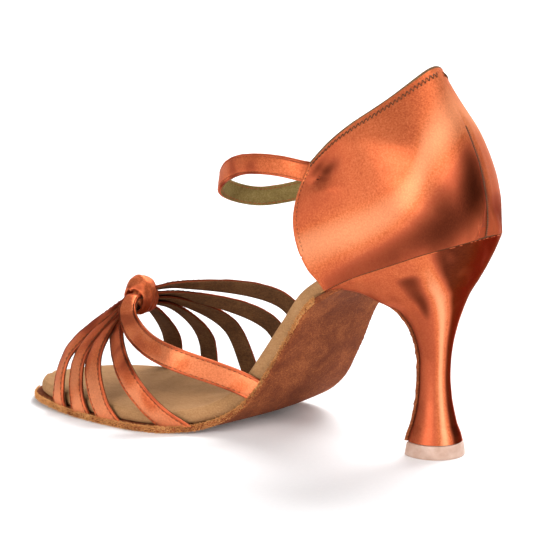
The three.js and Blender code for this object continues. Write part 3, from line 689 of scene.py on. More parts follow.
def outsole():
    along = np.linspace(1, along_at(SEAT_REACH) + 0.008, 420)
    flap_near, flap_far = breast_rows()
    v, deep, push = sole_section(25).T[:, None]
    top = bed_point(along[:, None], v, 0)
    flap = flap_far[:, None] + (flap_near - flap_far)[:, None] * ((v + 1) / 2)[..., None]
    middle = np.concatenate([bed_point(along, 0, 0), (flap_near + flap_far) / 2])
    way = along_path(middle)
    down = unit(stack(-way[:, 2], 0, way[:, 0]))[:, None]
    lift = np.repeat([0, GAP], [len(along), len(flap)])
    thinned = lerp(OUTSOLE_THICKNESS, FLAP_THICKNESS, np.minimum(1, np.linspace(0.3, 4, len(flap))))
    thickness = np.concatenate([np.full(len(along), OUTSOLE_THICKNESS), thinned])
    grid = np.concatenate([top, flap]) + down * (lift[:, None] + thickness[:, None] * deep)[..., None]
    wobble = 1 + 0.5 * ripple(grid, 3.1, 5) + 0.45 * ripple(grid, 1.5, 6)
    grid[..., 1] += RIM_PUSH * np.sign(v) * push * wobble
    rough = ripple(grid, 1.3, 8) * 0.12 * (0.3 + push)
    grid += down * rough[..., None] * (grid[..., 2:] > OUTSOLE_THICKNESS * 0.6)
    shape = Shape()
    shape.grid(grid, wrap=True, caps=True)
    shape.make("outsole_suede", SUEDE, "suede", ["outsole"], sharp=75)

    rng = np.random.default_rng(21)
    shape = Shape()
    fine = np.linspace(0.999, along_at(SEAT_REACH) + 0.02, 2600)
    for side in (1, -1):
        for depth in (0.0, 0.25, 0.5, 0.8):
            place = np.clip(fine + rng.normal(scale=0.0006, size=len(fine)), 0, 1)
            base = bed_point(place, side, 0)
            out = unit(np.cross(np.gradient(base, axis=0), [0, 0, 1.0]))
            out = out * np.where(out[:, 1:2] * side < 0, -1, 1)
            base = base - [0, 0, depth * OUTSOLE_THICKNESS] + out * 0.25
            fibres(shape, base, out + [0, 0, 0.6 - 0.8 * depth], RIM_FIBRE, 0.13, rng)
    tip = bed_point(1.0, np.linspace(-1, 1, 200), 0)
    for depth in (0.1, 0.5, 0.9):
        fibres(shape, tip - [0, 0, depth * OUTSOLE_THICKNESS], np.array([1.0, 0, 0]), 0.9, 0.09, rng)
    for line, side in zip(breast_rows(), (1, -1)):
        base = resample(line, 0.16) + [0.9, side * 0.1, 0]
        fibres(shape, base, np.array([0.4, side, 0]), 0.6, 0.08, rng)
    shape.make("outsole_nap", NAP, "suede", [])


# Insole

INSOLE_RIM = [
    (0.9, 0.0), (0.25, 0.10), (0.0, 0.26), (-0.05, 0.42), (0.0, 0.58), (0.15, 0.72), (0.45, 0.84),
    (0.85, 0.92), (1.15, 0.945), (1.4, 0.93), (1.65, 0.945), (2.1, 0.98), (2.9, 1.0),
]


def insole_top(along, across):
    return GAP + INSOLE_THICKNESS + ARCH_LIFT * waist(along) * across * across


def insole():
    ends = np.linspace(0, 1, 40) ** 2
    along = np.concatenate([0.06 * ends, np.linspace(0.06, 0.94, 300)[1:-1], 1 - 0.06 * ends[::-1]])
    crown = [(v, INSOLE_RIM[-1][0], 1.0) for v in np.linspace(1, -1, 31)[1:-1]]
    under = [(v, INSOLE_RIM[0][0], 0.0) for v in np.linspace(-1, 1, 15)[1:-1]]
    near, far = [[(side, *row) for row in INSOLE_RIM] for side in (1, -1)]
    grid = []
    for v, inset, height in near + crown + far[::-1] + under:
        point = bed_point(along, v, SOLE_RIM + inset)
        swell = 0.5 * (1 - v * v) + 0.22 * ripple(point, 34, 3) * (1 - v**4)
        level = lerp(GAP, insole_top(along, v), height) + swell * (height == 1.0)
        grid.append(point + bed_normal(point[:, 0]) * level[:, None])
    shape = Shape()
    shape.grid(np.stack(grid, axis=1), wrap=True, caps=True)
    piece = shape.make("insole_padded", LINING, "lining", ["insole"], sharp=80)


# Heel


def heel_ring(level, turns):
    """Points of the heel's side at table levels, for turns from 1 (near front) to -1 (far front)."""
    level, turns = level[:, None], turns[None, :]
    back = -HEEL.at("back", level) * SEAT_OVERHANG
    front = HEEL.at("front", level) * SEAT_REACH
    angle = turns * HEEL_CORNER
    share = (1 - np.cos(angle)) / (1 - math.cos(HEEL_CORNER))
    half = HEEL.at("half", level)
    seat = HEEL.at("seat", level)
    side = np.where(turns < 0, -1.0, 1.0)
    seat_along = along_at(lerp(-SEAT_OVERHANG, SEAT_REACH, share))
    outline = edge(seat_along, side, 0)[1] * half * 2
    y = lerp(np.sin(angle) * half * SEAT_WIDTH, outline, seat)
    y = np.where(np.abs(turns) < 1e-9, 0, y)
    x = lerp(back, front, share)
    height = lerp(HEEL.at("back_height", level), HEEL.at("front_height", level), share) * HEEL_HEIGHT
    seat_share = (x + SEAT_OVERHANG) / (SEAT_REACH + SEAT_OVERHANG)
    chord = lerp(HEEL.rows[0][2], HEEL.rows[0][4], seat_share) * HEEL_HEIGHT
    return stack(x, y, height + seat * (bed_height(x, across_at(x, y)) - chord))


def tip_ring(width, height, turns):
    angle = turns * HEEL_CORNER
    share = (1 - np.cos(angle)) / (1 - math.cos(HEEL_CORNER))
    return stack(width / 2 * lerp(-0.92, 0.78, share), width / 2 * np.sin(angle), height)


def close_front(rings, count):
    """Adds the straight front between a ring's last and first points."""
    near, far = rings[:, :1], rings[:, -1:]
    share = (np.arange(1, count) / count)[None, :, None]
    return np.concatenate([rings, far + (near - far) * share], axis=1)


def heel_tone(ahead, level):
    """Painted shade, deep at the back and at the front corners and in one soft crease; a painted highlight on
    a line between them.
    """
    neck = ease(level, 1, 6)
    back = ease(lerp(0.42, 0.22, neck) - ahead, 0, 0.13)
    crease = 0.92 * hill(ahead, 0.56, 0.09) * ease(level, 0.9, 1.8) * ease(level, 6.0, 4.0)
    corner = lerp(0.45, 0.60, neck) * ease(ahead, 0.84, 1.0)
    painted_mid_shade = lerp(0.26, 0.42, neck) * ease(ahead, 0.36, 0.50)
    painted_highlight = lerp(0.45, 0.70, neck) * hill(ahead, lerp(0.44, 0.31, neck), 0.06) * ease(level, 0.5, 3)
    return np.maximum(np.maximum(back, crease), np.maximum(corner, painted_mid_shade)) - painted_highlight


def even_rings(rings, turns, count=161, reach=4):
    """The rings' points at an even spacing, with their corners rounded a little, and each point's turn."""
    length = lengths(rings, axis=1)
    even, turned = [], []
    for ring, place in zip(rings, length):
        where = np.linspace(0, place[-1], count)
        even.append(interp(where, place, ring))
        turned.append(np.interp(where, place, turns))
    even = np.array(even)
    near = [even[:, reach + k:count - reach + k] for k in range(-reach, reach + 1)]
    even[:, reach:count - reach] = sum(near) / len(near)
    return even, np.array(turned)


def heel():
    turns = np.linspace(1, -1, 121)
    levels = np.linspace(0, HEEL_LEVELS, 150)
    upper = heel_ring(levels, turns)
    low, foot = (tip_ring(*size, turns) for size in TIP_SIZES)
    down = upper[-1] + (low - upper[-1]) * np.linspace(0, 1, 14)[1:, None, None]
    tail = low + (foot - low) * np.linspace(0, 1, 6)[1:, None, None]
    tuck = foot * [0.93, 0.93, 1] - [0, 0, 0.15]
    rings, turned = even_rings(np.concatenate([upper, down, tail, tuck[None]]), turns)
    rings = close_front(rings, FRONT_STEPS)
    out = unit((rings - rings.mean(1, keepdims=True)) * [1, 1, 0])
    x, y, z = np.moveaxis(rings, -1, 0)
    fold = 0.3 * hill(x, 20, 4) * hill(z, 68, 6) - 0.55 * hill(x, 14, 4.5) * hill(z, 66, 7)
    rings = rings + out * (fold * (y > 4) + 0.06 * ripple(rings, 17, 4))[..., None]
    ahead = np.concatenate([np.abs(turned), np.ones((len(turned), FRONT_STEPS - 1))], axis=1)
    level = np.pad(levels, (0, len(rings) - len(levels)), mode="edge")[:, None]
    # Painted shade and highlight on the heel's satin, with soft noise added in its upper part
    tone = heel_tone(ahead, level) + 0.08 * ripple(rings, 9, 41) * ease(level, 6, 3)
    shape = Shape()
    shape.grid(rings, wrap=True, caps=True, tone=np.clip(tone, -0.6, 1))
    shape.make("heel_satin", SATIN, "satin", ["heel"], sharp=50)


def heel_cap():
    turns = np.linspace(1, -1, 97)
    profile = [
        (0.78, 1.02), (0.90, 1.02), (0.925, 1.0), (0.935, 0.96), (0.95, 0.82), (0.965, 0.6), (0.985, 0.3),
        (0.995, 0.12), (0.99, 0.05), (0.975, 0.01), (0.95, 0.0),
    ]
    rings = np.stack([tip_ring(HEEL_TIP_WIDTH * w, CAP_HEIGHT * h, turns) for w, h in profile])
    shape = Shape()
    shape.grid(close_front(rings, 12), wrap=True, caps=True)
    shape.make("heel_cap_plastic", PLASTIC, "cap", ["heel_cap"], sharp=40)


# Quarter


def quarter_side(share, rise):
    seat_front = SEAT_REACH - GAP
    along = 1 - np.cos(share * math.pi / 2)
    lean = lambda t: SEAT_BACK + QUARTER.at("lean", t) * SEAT_OVERHANG

    def foot(t):
        x = lerp(SEAT_BACK, seat_front, t)
        return np.array([x, bed_height(x, 1) + GAP])

    peak = np.array([float(lean(1.0)), HEEL_HEIGHT + QUARTER_HEIGHT])
    corner = np.array([seat_front + 0.42 * QUARTER_FRONT_BULGE, foot(1.0)[1] + QUARTER_FRONT_HEIGHT])
    dip = 0.02 * QUARTER_HEIGHT * np.sin(2 * math.pi * along)
    bulge = QUARTER_FRONT_BULGE * np.sin(math.pi * rise)
    result = []
    for k in range(2):
        first, end = foot(0.0)[k], foot(1.0)[k]
        lower = foot(along)[k]
        upper = lerp(peak[k], corner[k], along) - (dip if k else 0)
        back = lean(rise) if k == 0 else lerp(first, peak[1], rise)
        front = lerp(end, corner[k], rise) + (0 if k else bulge)
        corners = lerp(lerp(first, end, along), lerp(peak[k], corner[k], along), rise)
        result.append(lerp(lower, upper, rise) + lerp(back, front, along) - corners)
    return result


def quarter_half(x, z, side, back):
    seat = bed_height(x, side) + GAP
    rise = np.clip((z - HEEL_HEIGHT) / QUARTER_HEIGHT, 0, 1)
    bowed = np.clip((z - seat) / QUARTER_HEIGHT, 0, 1)
    t = np.clip((x - back) / np.where(np.asarray(side) > 0, QUARTER_BACK_ROUND, QUARTER_FAR_ROUND), 0, 1)
    round_off = (1 - (1 - t) ** 2.2) ** (1 / 2.2)
    free = QUARTER.at("half", np.maximum(rise, bowed * 0.55)) * SEAT_WIDTH * round_off
    outline = np.abs(edge(along_at(np.maximum(x, SEAT_BACK)), side, GAP)[1])
    seated = np.minimum(outline, free + 0.12 * SEAT_WIDTH)
    return lerp(np.where(t > 0, seated, 0), free, ease(z - seat, 0, 0.2 * QUARTER_HEIGHT))


def quarter_point(turn, rise):
    turn, rise = np.broadcast_arrays(np.asarray(turn, float), np.asarray(rise, float))
    share = np.abs(turn)
    x, z = quarter_side(share, rise)
    side = np.where(turn < 0, -1.0, 1.0)
    back = quarter_side(np.zeros_like(share), rise)[0]
    y = np.where(share < 1e-6, 0, side * quarter_half(x, z, side, back))
    return stack(x, y, z)


def quarter_normal(turn, rise):
    step = 0.012
    before = quarter_point(np.maximum(-1, turn - step), rise)
    after = quarter_point(np.minimum(1, turn + step), rise)
    below = quarter_point(turn, np.maximum(0, rise - step))
    above = quarter_point(turn, np.minimum(1, rise + step))
    return unit(np.cross(above - below, after - before))


# The quarter's soft ridge, where the satin gets a band of painted highlight, from the peak round to the front
# edge: turn, and its rise there
RIDGE = Table("turn rise", [
    (0.00, 0.78), (0.095, 0.722), (0.319, 0.601), (0.385, 0.479), (0.486, 0.356), (0.601, 0.309),
    (0.752, 0.285), (1.00, 0.32),
])


# Painted shade along a fold down the back seam and along the foot: turn, rise, width in mm and depth
FOLD_PAINTED_SHADE = Table("turn rise width depth", [
    (0.00, 0.54, 4.0, 0.30), (0.16, 0.43, 6.5, 0.80), (0.34, 0.28, 11.0, 1.00), (0.48, 0.20, 12.0, 1.00),
    (0.62, 0.13, 11.0, 1.00), (0.78, 0.07, 8.0, 0.85), (1.00, 0.01, 6.0, 0.55),
])
FOLD_PAINTED_SHADE_TURN = Table("key turn", [
    (0.00, 0.055), (0.16, 0.080), (0.34, 0.115), (0.48, 0.200), (0.62, 0.330), (0.78, 0.540), (1.00, 0.95),
])


def quarter_tone(turn, rise, points):
    """Painted light on the quarter's satin: deep painted shade along a fold down the back seam and the foot,
    a painted highlight band along the ridge and slight painted shade above it.
    """
    share = np.abs(turn)
    key = np.linspace(0, 1, 60)
    fold = quarter_point(FOLD_PAINTED_SHADE_TURN.at("turn", key), FOLD_PAINTED_SHADE.at("rise", key))
    width, depth = FOLD_PAINTED_SHADE.at("width", key), FOLD_PAINTED_SHADE.at("depth", key)
    mirrored = points * [1, 0, 1] + np.abs(points) * [0, 1, 0]
    away = np.linalg.norm(mirrored[:, :, None] - fold, axis=-1) / width
    deep = (depth * np.exp(-away ** 2.4)).max(-1)
    # A band of painted highlight lies along the ridge, with slight painted shade above it
    over = rise - RIDGE.at("rise", share)
    above = 0.16 * ease(over, 0.05, 0.2) * ease(share, 0.15, 0.4) - 0.36 * hill(over, 0.0, 0.12)
    # Slight painted shade toward the upper front edge
    front_painted_shade = 0.20 * ease(share, 0.6, 0.9) * ease(rise, 0.4, 0.6)
    # Painted shade by the back seam, low down
    heel = 0.62 * ease(share, 0.17, 0.05) * ease(rise, 0.34, 0.14)
    # Painted shade in the dimples where the ankle strap pulls
    pull = 0.55 * hill(share, 0.84, 0.055) * hill(rise, 0.77, 0.05)
    pull += 0.4 * hill(share, 0.91, 0.05) * hill(rise, 0.85, 0.05)
    # The fold's painted shade fades out on the far side, above its foot
    behind = 0.9 * ease(turn, 0.0, -0.02) * ease(rise, 0.1, 0.35)
    return np.clip(np.maximum(deep * (1 - behind), heel) + above + front_painted_shade + pull, -0.6, 1)


def quarter_relief(turn, rise, points):
    """How far the satin stands out: the seam's groove, the ankle strap's pull and soft waves."""
    x, z, share = points[..., 0], points[..., 2], np.abs(turn)
    seam = 0.20 * (hill(turn, 0.032, 0.02) + hill(turn, -0.032, 0.02)) - 0.35 * hill(turn, 0.0, 0.010)
    pull = 0.5 * hill(x, 32, 5) * hill(z, 98.5, 2.0) - 0.9 * hill(x, 36, 4.2) * hill(z, 103, 2.4)
    waves = 0.04 * ripple(points, 30, 12) + 0.02 * ripple(points, 11, 13)
    ridge = -0.15 * hill(RIDGE.at("rise", share) - rise, 0.24, 0.16) * ease(rise, 0, 0.16)
    seam, ridge = seam * ease(0.80 - rise, 0, 0.14), ridge * ease(share, 0.02, 0.2)
    return seam + pull * (share > 0.4) + waves + ridge


def quarter():
    rise = np.linspace(0, 1, 111)[:, None]
    turn = np.linspace(-1, 1, 281)[None, :]
    turn = np.sign(turn) * np.abs(turn) ** 1.15
    point = quarter_point(turn, rise)
    normal = quarter_normal(turn, rise)
    outer = point + normal * quarter_relief(turn, rise, point)[..., None]
    middle = point - normal * SATIN_LAYER
    inner = point - normal * QUARTER_WALL
    # Painted shade and highlight for the satin, carried in the tone attribute
    tone = quarter_tone(turn, rise, point)
    for name, first, second, material, slot, nodes in (
            ("quarter_satin", outer, middle, SATIN, "satin", ["quarter"]),
            ("quarter_lining", middle - normal * 0.02, inner, LINING, "lining", [])):
        loop = np.concatenate([first, second[::-1]])
        shape = Shape()
        shape.grid(loop.transpose(1, 0, 2), wrap=True, caps=True, tone=np.concatenate([tone, tone[::-1]]).T)
        shape.make(name, material, slot, nodes, sharp=55)

    shape = Shape()
    tube(shape, point[-1] - normal[-1] * 0.75 + [0, 0, 0.05], PIPING_RADIUS, sides=12)
    shape.make("topline_piping", PIPING, "lining", [])
    shape = Shape()
    for column in (0, -1):
        tube(shape, point[:, column] - normal[:, column] * 0.8, FOLD_RADIUS, sides=12)
    shape.make("quarter_fold", SATIN, "satin", [])


def quarter_threads():
    """The topline's zigzag, the front edges' stitches, the line over the heel and the back seam."""
    shape = Shape()
    bow = np.array([-0.1, 0.12, 0.18, 0.12, -0.1])[:, None]
    for sign in (1, -1):
        fine = np.linspace(0.05, 0.985, 300)
        length = lengths(quarter_point(sign * fine, 0.96))
        count = int(length[-1] / ZIGZAG_STEP)
        turn = sign * np.interp(np.linspace(0, length[-1], count), length, fine)
        rise = np.where(np.arange(count) % 2 == 0, *ZIGZAG_ROWS)
        zigzag, out = quarter_point(turn, rise), quarter_normal(turn, rise)
        zigzag = zigzag + out * (quarter_relief(turn, rise, zigzag) + 0.1)[:, None]
        for a, b, n in zip(zigzag[:-1], zigzag[1:], out[:-1]):
            tube(shape, a + (b - a) * np.linspace(0.08, 0.92, 5)[:, None] + n * bow, 0.15, sides=5)
    shape.make("topline_stitches", DARK_THREAD, "lining", [])

    shape = Shape()
    rise = np.linspace(0.30, 0.96, 90)
    for turn in (0.985, -0.985):
        out = quarter_normal(turn, rise)
        stitches(shape, quarter_point(turn, rise) + out * 0.1, out, stitch=0.8, gap=0.8, radius=0.1)
    shape.make("front_edge_stitches", DARK_THREAD, "satin", [])

    shape = Shape()
    turn = np.linspace(-1, 1, 240)
    line = quarter_point(turn, 0.0) - quarter_normal(turn, 0.01) * 0.5 - [0, 0, 0.10]
    tube(shape, line, FEATHER_RADIUS, sides=8)
    shape.make("feather_line", DARK_THREAD, "satin", [])

    shape = Shape()
    rise = np.linspace(0.0, 0.66, 160)
    centre, out = quarter_point(0.0, rise), quarter_normal(0.0, rise)
    tube(shape, centre - out * 0.24, SEAM_RADIUS, sides=6)
    for k in range(2, len(rise) - 2, 3):
        tick = centre[k] + np.array([[0, -0.75, 0], [0, -0.3, 0], [0, 0.3, 0], [0, 0.75, 0]])
        tick[:, 0] += 0.03 * np.abs(tick[:, 1])
        tube(shape, tick + out[k] * np.array([0.02, -0.06, -0.06, 0.02])[:, None], 0.1, sides=4)
    shape.make("back_seam", DARK_THREAD, "satin", [])


# Vamp straps

DOME_FRONT = x_at(KNOT_ALONG) - 0.014 * SHOE_LENGTH


def vamp_facing(point):
    forward = 0.6 * np.maximum(0, point[..., 0] - DOME_FRONT)
    return stack(forward, 1.1 * point[..., 1], 0.35 * (point[..., 2] - 0.15 * VAMP_HEIGHT))


def strap_points(row):
    side, foot, knee, knee_side, knee_rise, mouth, mouth_side, mouth_rise = row
    inset = SOLE_RIM - GAP - STRAP_THICKNESS / 2
    foot_x, foot_y = edge(foot, side, inset)
    low = bed_height(foot_x, side)
    knee_point = [x_at(knee), side * knee_side * BALL_WIDTH, OUTSOLE_THICKNESS + knee_rise * VAMP_HEIGHT]
    mouth_point = [x_at(mouth), side * mouth_side * BALL_WIDTH, OUTSOLE_THICKNESS + mouth_rise * VAMP_HEIGHT]
    lean = 0.3 * (knee_point[0] - foot_x)
    shoulder = lerp(low, bed_height(foot_x + lean, side), 0.35) + INSOLE_THICKNESS * 0.9
    start = [foot_x - lean, edge(along_at(foot_x - lean), side, inset)[1], low - STRAP_WIDTH * 0.5]
    spread = max(0.4 * STRAP_THICKNESS, 0.2 * (abs(knee_point[1]) - abs(foot_y)))
    out = max(abs(foot_y) + spread, abs(edge(along_at(foot_x + lean), side, inset)[1]))
    top = [foot_x + lean, side * out, shoulder]
    return [start, top, knee_point, mouth_point]


def strap_start(points, side, width, facing):
    """Where each column of a strap meets the sole's top face."""
    t = np.linspace(0, 0.4, 161)

    def start(shares):
        result = []
        for share in shares:
            centre, tangent, across, out = strap_frame(points, t, facing)
            place = centre + across * (share * width(t))[:, None]
            above = place[:, 2] - bed_height(place[:, 0], np.full(len(t), float(side)))
            hidden = np.nonzero(above < -0.25)[0]
            result.append(t[min(hidden[-1] + 1, len(t) - 1)] if len(hidden) else 0.0)
        return np.array(result)

    return start


# Where nine of the straps end inside the knot, near side first
STRAP_ENDS = [
    (145.4, 4.0, 45.6), (145.0, 3.6, 44.4), (144.4, 3.2, 43.2), (143.6, 3.0, 42.2), (144.0, -1.0, 42.4),
    (142.6, -1.0, 43.6), (141.6, -1.0, 45.2), (141.2, -1.0, 46.8), (141.6, -1.0, 48.2),
]
# The rear near strap's own way round the front of the knot
LOBE_STRAP = 4
LOBE = [
    (109.3, 31.5, 32.2), (120.3, 27.0, 34.5), (131.0, 20.8, 38.0), (136.0, 17.3, 42.0), (138.2, 13.6, 45.4),
    (139.2, 10.0, 47.2), (139.8, 6.5, 47.0), (141.0, 1.5, 45.8),
]
LOBE_TURN = Table("t x y z", [
    (0.50, 0.00, 0.95, 0.30), (0.60, -0.30, 0.85, 0.42), (0.70, -0.28, 0.75, 0.60),
    (0.80, -0.20, 0.45, 0.88), (0.90, -0.10, 0.20, 1.00), (1.00, 0.00, 0.00, 1.00),
])
LOBE_WIDTH = Table("t width", [
    (0.0, 1.04), (0.45, 1.02), (0.55, 0.92), (0.65, 0.80), (0.75, 0.72), (0.85, 0.60), (1.0, 0.45),
])


def vamp_straps():
    satin, lining, thread = Shape(), Shape(), Shape()
    ends = iter(STRAP_ENDS)
    for number, row in enumerate(STRAPS):
        side, lobe = row[0], number == LOBE_STRAP
        points = strap_points(row)
        if lobe:
            points = points[:3] + [list(point) for point in LOBE]
            width = lambda t: STRAP_WIDTH * LOBE_WIDTH.at("width", t)
        else:
            points += [list(next(ends))]
            width = lambda t: STRAP_WIDTH * lerp(1, 0.58, ease(t, 0.50, 0.86))

        def facing(point, t, lobe=lobe):
            way = unit(vamp_facing(point))
            if lobe:
                turn = unit(stack(*(LOBE_TURN.at(name, t) for name in "xyz")))
                way = unit(lerp(way, turn, ease(t, 0.45, 0.58)[..., None]))
            return way

        steps, wave, most = (130, 0.07, 1.3) if lobe else (90, 0.09, 1.1)
        cup = lambda t, most=most: most * ease(t, 0.52, 0.8)
        start = strap_start(points, side, width, facing)
        grid = strap_grid(points, start, steps, SATIN_SECTION, width, STRAP_THICKNESS, facing, cup)
        grid = grid + wave * ripple(grid, 6.5, 30 + number)[..., None] * unit(vamp_facing(grid))
        way = np.linspace(0, 1, steps)[:, None]
        # Painted highlight low on each strap and painted shade toward the knot, half as strong on the lobe
        # strap; patches of painted shade; painted shade on the folded edges, deeper on the far straps
        painted_shade_patches = np.clip(ripple(grid, 15, 70 + number), 0, 1)
        tone = lerp(-0.30, 0.60, ease(way, 0.25, 0.80)) * (0.5 if lobe else 1) + 0.36 * painted_shade_patches
        tone = tone + (0.50 if side > 0 else 0.9) * STRAP_EDGE_PAINTED_SHADE
        satin.grid(grid, wrap=True, caps=True, tone=np.clip(tone, -0.4, 0.9))
        back = strap_grid(points, start, steps, LINING_SECTION, width, STRAP_THICKNESS, facing, cup)
        lining.grid(back, wrap=True, caps=True)
        for share in (STITCH_LINE, -STITCH_LINE):
            rows = np.array([[share, 0.36]])
            line = strap_grid(points, start, steps, rows, width, STRAP_THICKNESS, facing, cup, end=0.88)[:, 0]
            out = strap_frame(points, np.linspace(float(start(rows[:, 0])[0]), 0.88, steps), facing)[3]
            stitches(thread, line[3:] + out[3:] * 0.02, out[3:], stitch=1.4, gap=0.9, radius=0.12)
    satin.make("vamp_straps_satin", SATIN, "satin", ["vamp_straps"], sharp=60)
    lining.make("vamp_straps_lining", VAMP_LINING, "lining", [])
    thread.make("vamp_straps_stitches", DARK_THREAD, "satin", [])


def knot():
    """A puffed band that hoods the straps at its near mouth."""
    angle = np.linspace(0, 2 * math.pi, 161)[:-1][:, None]
    s = np.linspace(-1, 1, 57)[None, :]
    top = np.maximum(0, np.sin(angle)) ** 1.3
    far, near = -4.3 + 0.5 * top, 4.2 + 2.9 * top
    inward = np.maximum(0, (s + 0.15) / 1.15)
    mouth = lerp(0.93, 0.40, top)
    size = np.sqrt(1 - (1 - mouth**2) * inward**2) * (1 - 0.12 * np.maximum(0, -s) ** 2.5)
    crease = 0.16 * np.sin(1.5 * math.pi * s + 1.9 * np.sin(angle - 0.5))
    crease = crease + 0.05 * np.sin(3.3 * math.pi * s - 2.2 * angle)
    x = KNOT_REACH * size * np.cos(angle)
    z = (KNOT_RISE + 0.2 * top) * size * np.sin(angle)
    outer = KNOT_CENTRE + stack(x, lerp(far, near, (s + 1) / 2), z)
    along = np.roll(outer, -1, axis=0) - np.roll(outer, 1, axis=0)
    across = np.gradient(outer, axis=1)
    normal = unit(np.cross(along, across))
    if (normal * (outer - KNOT_CENTRE)).sum() < 0:
        normal = -normal
    outer = outer + normal * (crease + 0.12 * ripple(outer, 5, 50))[..., None]
    inner = outer - normal * KNOT_WALL
    rim = (outer[:, -1:] + inner[:, -1:]) / 2 + unit(across[:, -1:]) * 0.7
    tail = (outer[:, :1] + inner[:, :1]) / 2 - unit(across[:, :1]) * 0.7
    grid = np.concatenate([outer, rim, inner[:, ::-1], tail], axis=1)
    grid = np.concatenate([grid, grid[:1]])
    # Painted shade: darker on the knot's lower part, with a line of painted shade near its top on the near
    # side
    tone = 0.08 + 0.45 * ease(49 - grid[..., 2], 0, 6)
    tone += 0.35 * hill(grid[..., 2], 50.3, 1.1) * ease(grid[..., 1], 4, 6)
    shape = Shape()
    shape.grid(grid, wrap=True, tone=tone)
    shape.make("knot_band", SATIN, "satin", ["knot"], sharp=75)

    shape = Shape()
    turn = np.linspace(0, math.pi, 25)[:, None]
    round_turn = np.linspace(0, 2 * math.pi, 41)[:-1][None, :]
    radius = 4.4 * np.sin(turn) * (1 + 0.10 * np.cos(6 * round_turn))
    core = stack(radius * np.cos(round_turn), 4.0 * np.cos(turn), 1.2 * radius * np.sin(round_turn))
    shape.grid(KNOT_CENTRE - [0, 0.5, 0.7] + core, wrap=True)
    shape.make("knot_core", SATIN, "satin", [])


# Ankle strap


def ankle_strap():
    root_x = SEAT_REACH
    root_z = float(bed_height(SEAT_REACH, 1)) + QUARTER_FRONT_HEIGHT - 0.4 * ANKLE_STRAP_WIDTH

    def inside(x, side):
        clear = QUARTER_WALL + GAP + ANKLE_STRAP_THICKNESS / 2
        return [x, side * (float(quarter_half(x, root_z, side, SEAT_BACK)) - clear - GAP), root_z]

    free = [[root_x + reach * ANKLE_LOOP_REACH, side * SEAT_WIDTH, root_z - drop * ANKLE_STRAP_WIDTH]
            for reach, side, drop in ANKLE]
    sewn = root_x - ANKLE_STRAP_SEWN
    points = [inside(sewn, 1), inside(root_x, 1), *free, inside(root_x, -1), inside(sewn, -1)]
    facing = lambda p, t: stack(p[..., 0] - root_x - 0.4 * ANKLE_LOOP_REACH, 2 * p[..., 1], 0 * p[..., 2])
    width = lambda t: ANKLE_STRAP_WIDTH + 0 * t
    start = lambda shares: np.zeros(len(shares))
    steps = 220

    def rows_of(section):
        return strap_grid(points, start, steps, section, width, ANKLE_STRAP_THICKNESS, facing)

    grid = rows_of(SATIN_SECTION)
    grid = grid + 0.06 * ripple(grid, 7, 60)[..., None] * [0, 0.6, 0.6]
    # Painted shade: a little all over, more in soft patches, and on the folded edges
    tone = 0.04 + 0.40 * np.clip(ripple(grid, 16, 61), 0, 1)
    tone = tone + 0.25 * STRAP_EDGE_PAINTED_SHADE
    shape = Shape()
    shape.grid(grid, wrap=True, caps=True, tone=np.clip(tone, 0, 0.8))
    shape.make("ankle_strap_satin", SATIN, "satin", ["ankle_strap"], sharp=60)
    shape = Shape()
    shape.grid(rows_of(LINING_SECTION), wrap=True, caps=True)
    shape.make("ankle_strap_lining", ANKLE_LINING, "lining", [])
    shape = Shape()
    for share in (STITCH_LINE, -STITCH_LINE):
        for height, sign in ((0.36, 1), (-0.58, -1)):
            line = rows_of(np.array([[share, height]]))[:, 0]
            out = strap_frame(points, np.linspace(0, 1, steps), facing)[3] * sign
            stitches(shape, line + out * 0.02, out, stitch=1.5, gap=0.6, radius=0.14)
    shape.make("ankle_strap_stitches", THREAD, "satin", [])


# Stage, light and camera


def stage():
    """A paper floor that curves up behind the shoe."""
    bend = np.linspace(0, math.pi / 2, 16)[1:]
    x = np.concatenate([np.linspace(-1400, 500, 20), 500 + 400 * np.sin(bend), [900.0] * 3])
    z = np.concatenate([np.zeros(20), 400 * (1 - np.cos(bend)), [700, 1200, 2200]])
    y = np.linspace(-2200, 2200, 12)
    shape = Shape()
    shape.grid(stack(x[:, None], y[None, :], z[:, None]))
    mesh = bpy.data.meshes.new("floor")
    mesh.from_pydata((np.concatenate(shape.points) / 1000).tolist(), [], shape.faces)
    mesh.transform(Matrix.Rotation(math.radians(-54), 4, "Z"))
    mesh.shade_smooth()
    g = Graph("paper")
    grain = g.noise(600, g.place(), 3, 0.6)
    g.set(Base_Color=g.steps(grain, [(0.2, (0.84, 0.84, 0.845)), (0.8, (0.87, 0.87, 0.87))]), Roughness=0.9)
    g.set(Specular_IOR_Level=0.2, Emission_Color=(1, 1, 1, 1), Emission_Strength=0.06)
    mesh.materials.append(g.material)
    add_object("floor", mesh)


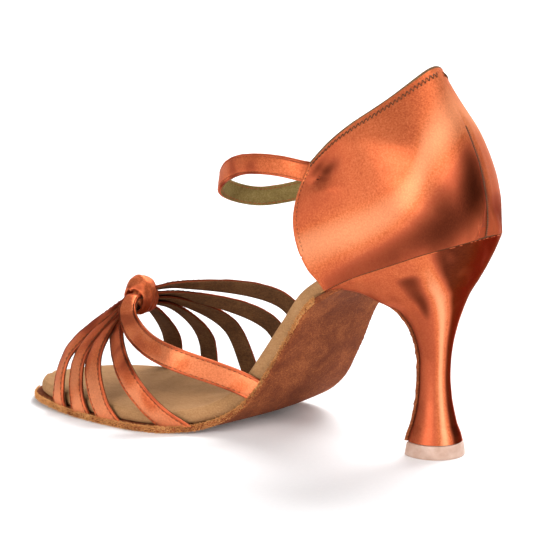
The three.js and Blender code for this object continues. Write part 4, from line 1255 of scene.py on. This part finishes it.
# Area lights: name, place, aim, size in metres, and watts
LIGHTS = [
    ("side", (0.02, 1.15, 0.40), (0.06, 0, 0.06), (0.9, 0.8), 12),
    ("top", (0.10, -0.72, 0.95), (0.06, 0, 0.0), (0.75, 0.75), 19),
    ("back", (-0.80, 0.30, 0.90), (0.0, 0, 0.09), (0.9, 0.9), 8),
    ("strip", (-1.15, 0.16, 0.20), (0.0, 0, 0.06), (0.10, 0.9), 5),
]


def lights():
    world = bpy.data.worlds.new("studio")
    world.use_nodes = True
    sky = world.node_tree.nodes["Background"].inputs
    sky["Color"].default_value = (1.0, 0.96, 0.985, 1)
    sky["Strength"].default_value = 0.10
    bpy.context.scene.world = world
    bpy.context.scene.view_settings.view_transform = "Standard"
    for name, place, aim, size, watts in LIGHTS:
        data = bpy.data.lights.new(name, "AREA")
        data.shape = "RECTANGLE"
        data.size, data.size_y = size
        data.energy = watts
        light = add_object(name, data)
        light.location = place
        light.rotation_euler = (Vector(aim) - Vector(place)).to_track_quat("-Z", "Y").to_euler()


def camera():
    """The photo's view: turned 35.9 degrees behind the shoe's inner side, 9.7 degrees up, rolled by 0.8."""
    turn, rise, roll = math.radians(35.917), math.radians(9.706), math.radians(-0.816)
    distance, sensor, focal = 0.600, 36.0, 99.85
    back = Vector((-math.sin(turn) * math.cos(rise), math.cos(turn) * math.cos(rise), math.sin(rise)))
    right = (-back).cross(Vector((0, 0, 1))).normalized()
    up = right.cross(-back)
    right, up = right * math.cos(roll) + up * math.sin(roll), up * math.cos(roll) - right * math.sin(roll)
    target = Vector((0.075, 0, 0.060)) + right * 0.001347 + up * 0.000357
    data = bpy.data.cameras.new("photo_camera")
    data.sensor_width = sensor
    data.lens = focal
    data.clip_start, data.clip_end = 0.01, 20
    view = add_object("photo_camera", data)
    turned = Matrix((right, up, back)).transposed().to_4x4()
    view.matrix_world = Matrix.Translation(target + back * distance) @ turned
    bpy.context.scene.camera = view


camera()
outsole()
insole()
heel()
heel_cap()
quarter()
quarter_threads()
vamp_straps()
knot()
ankle_strap()
stage()
lights()
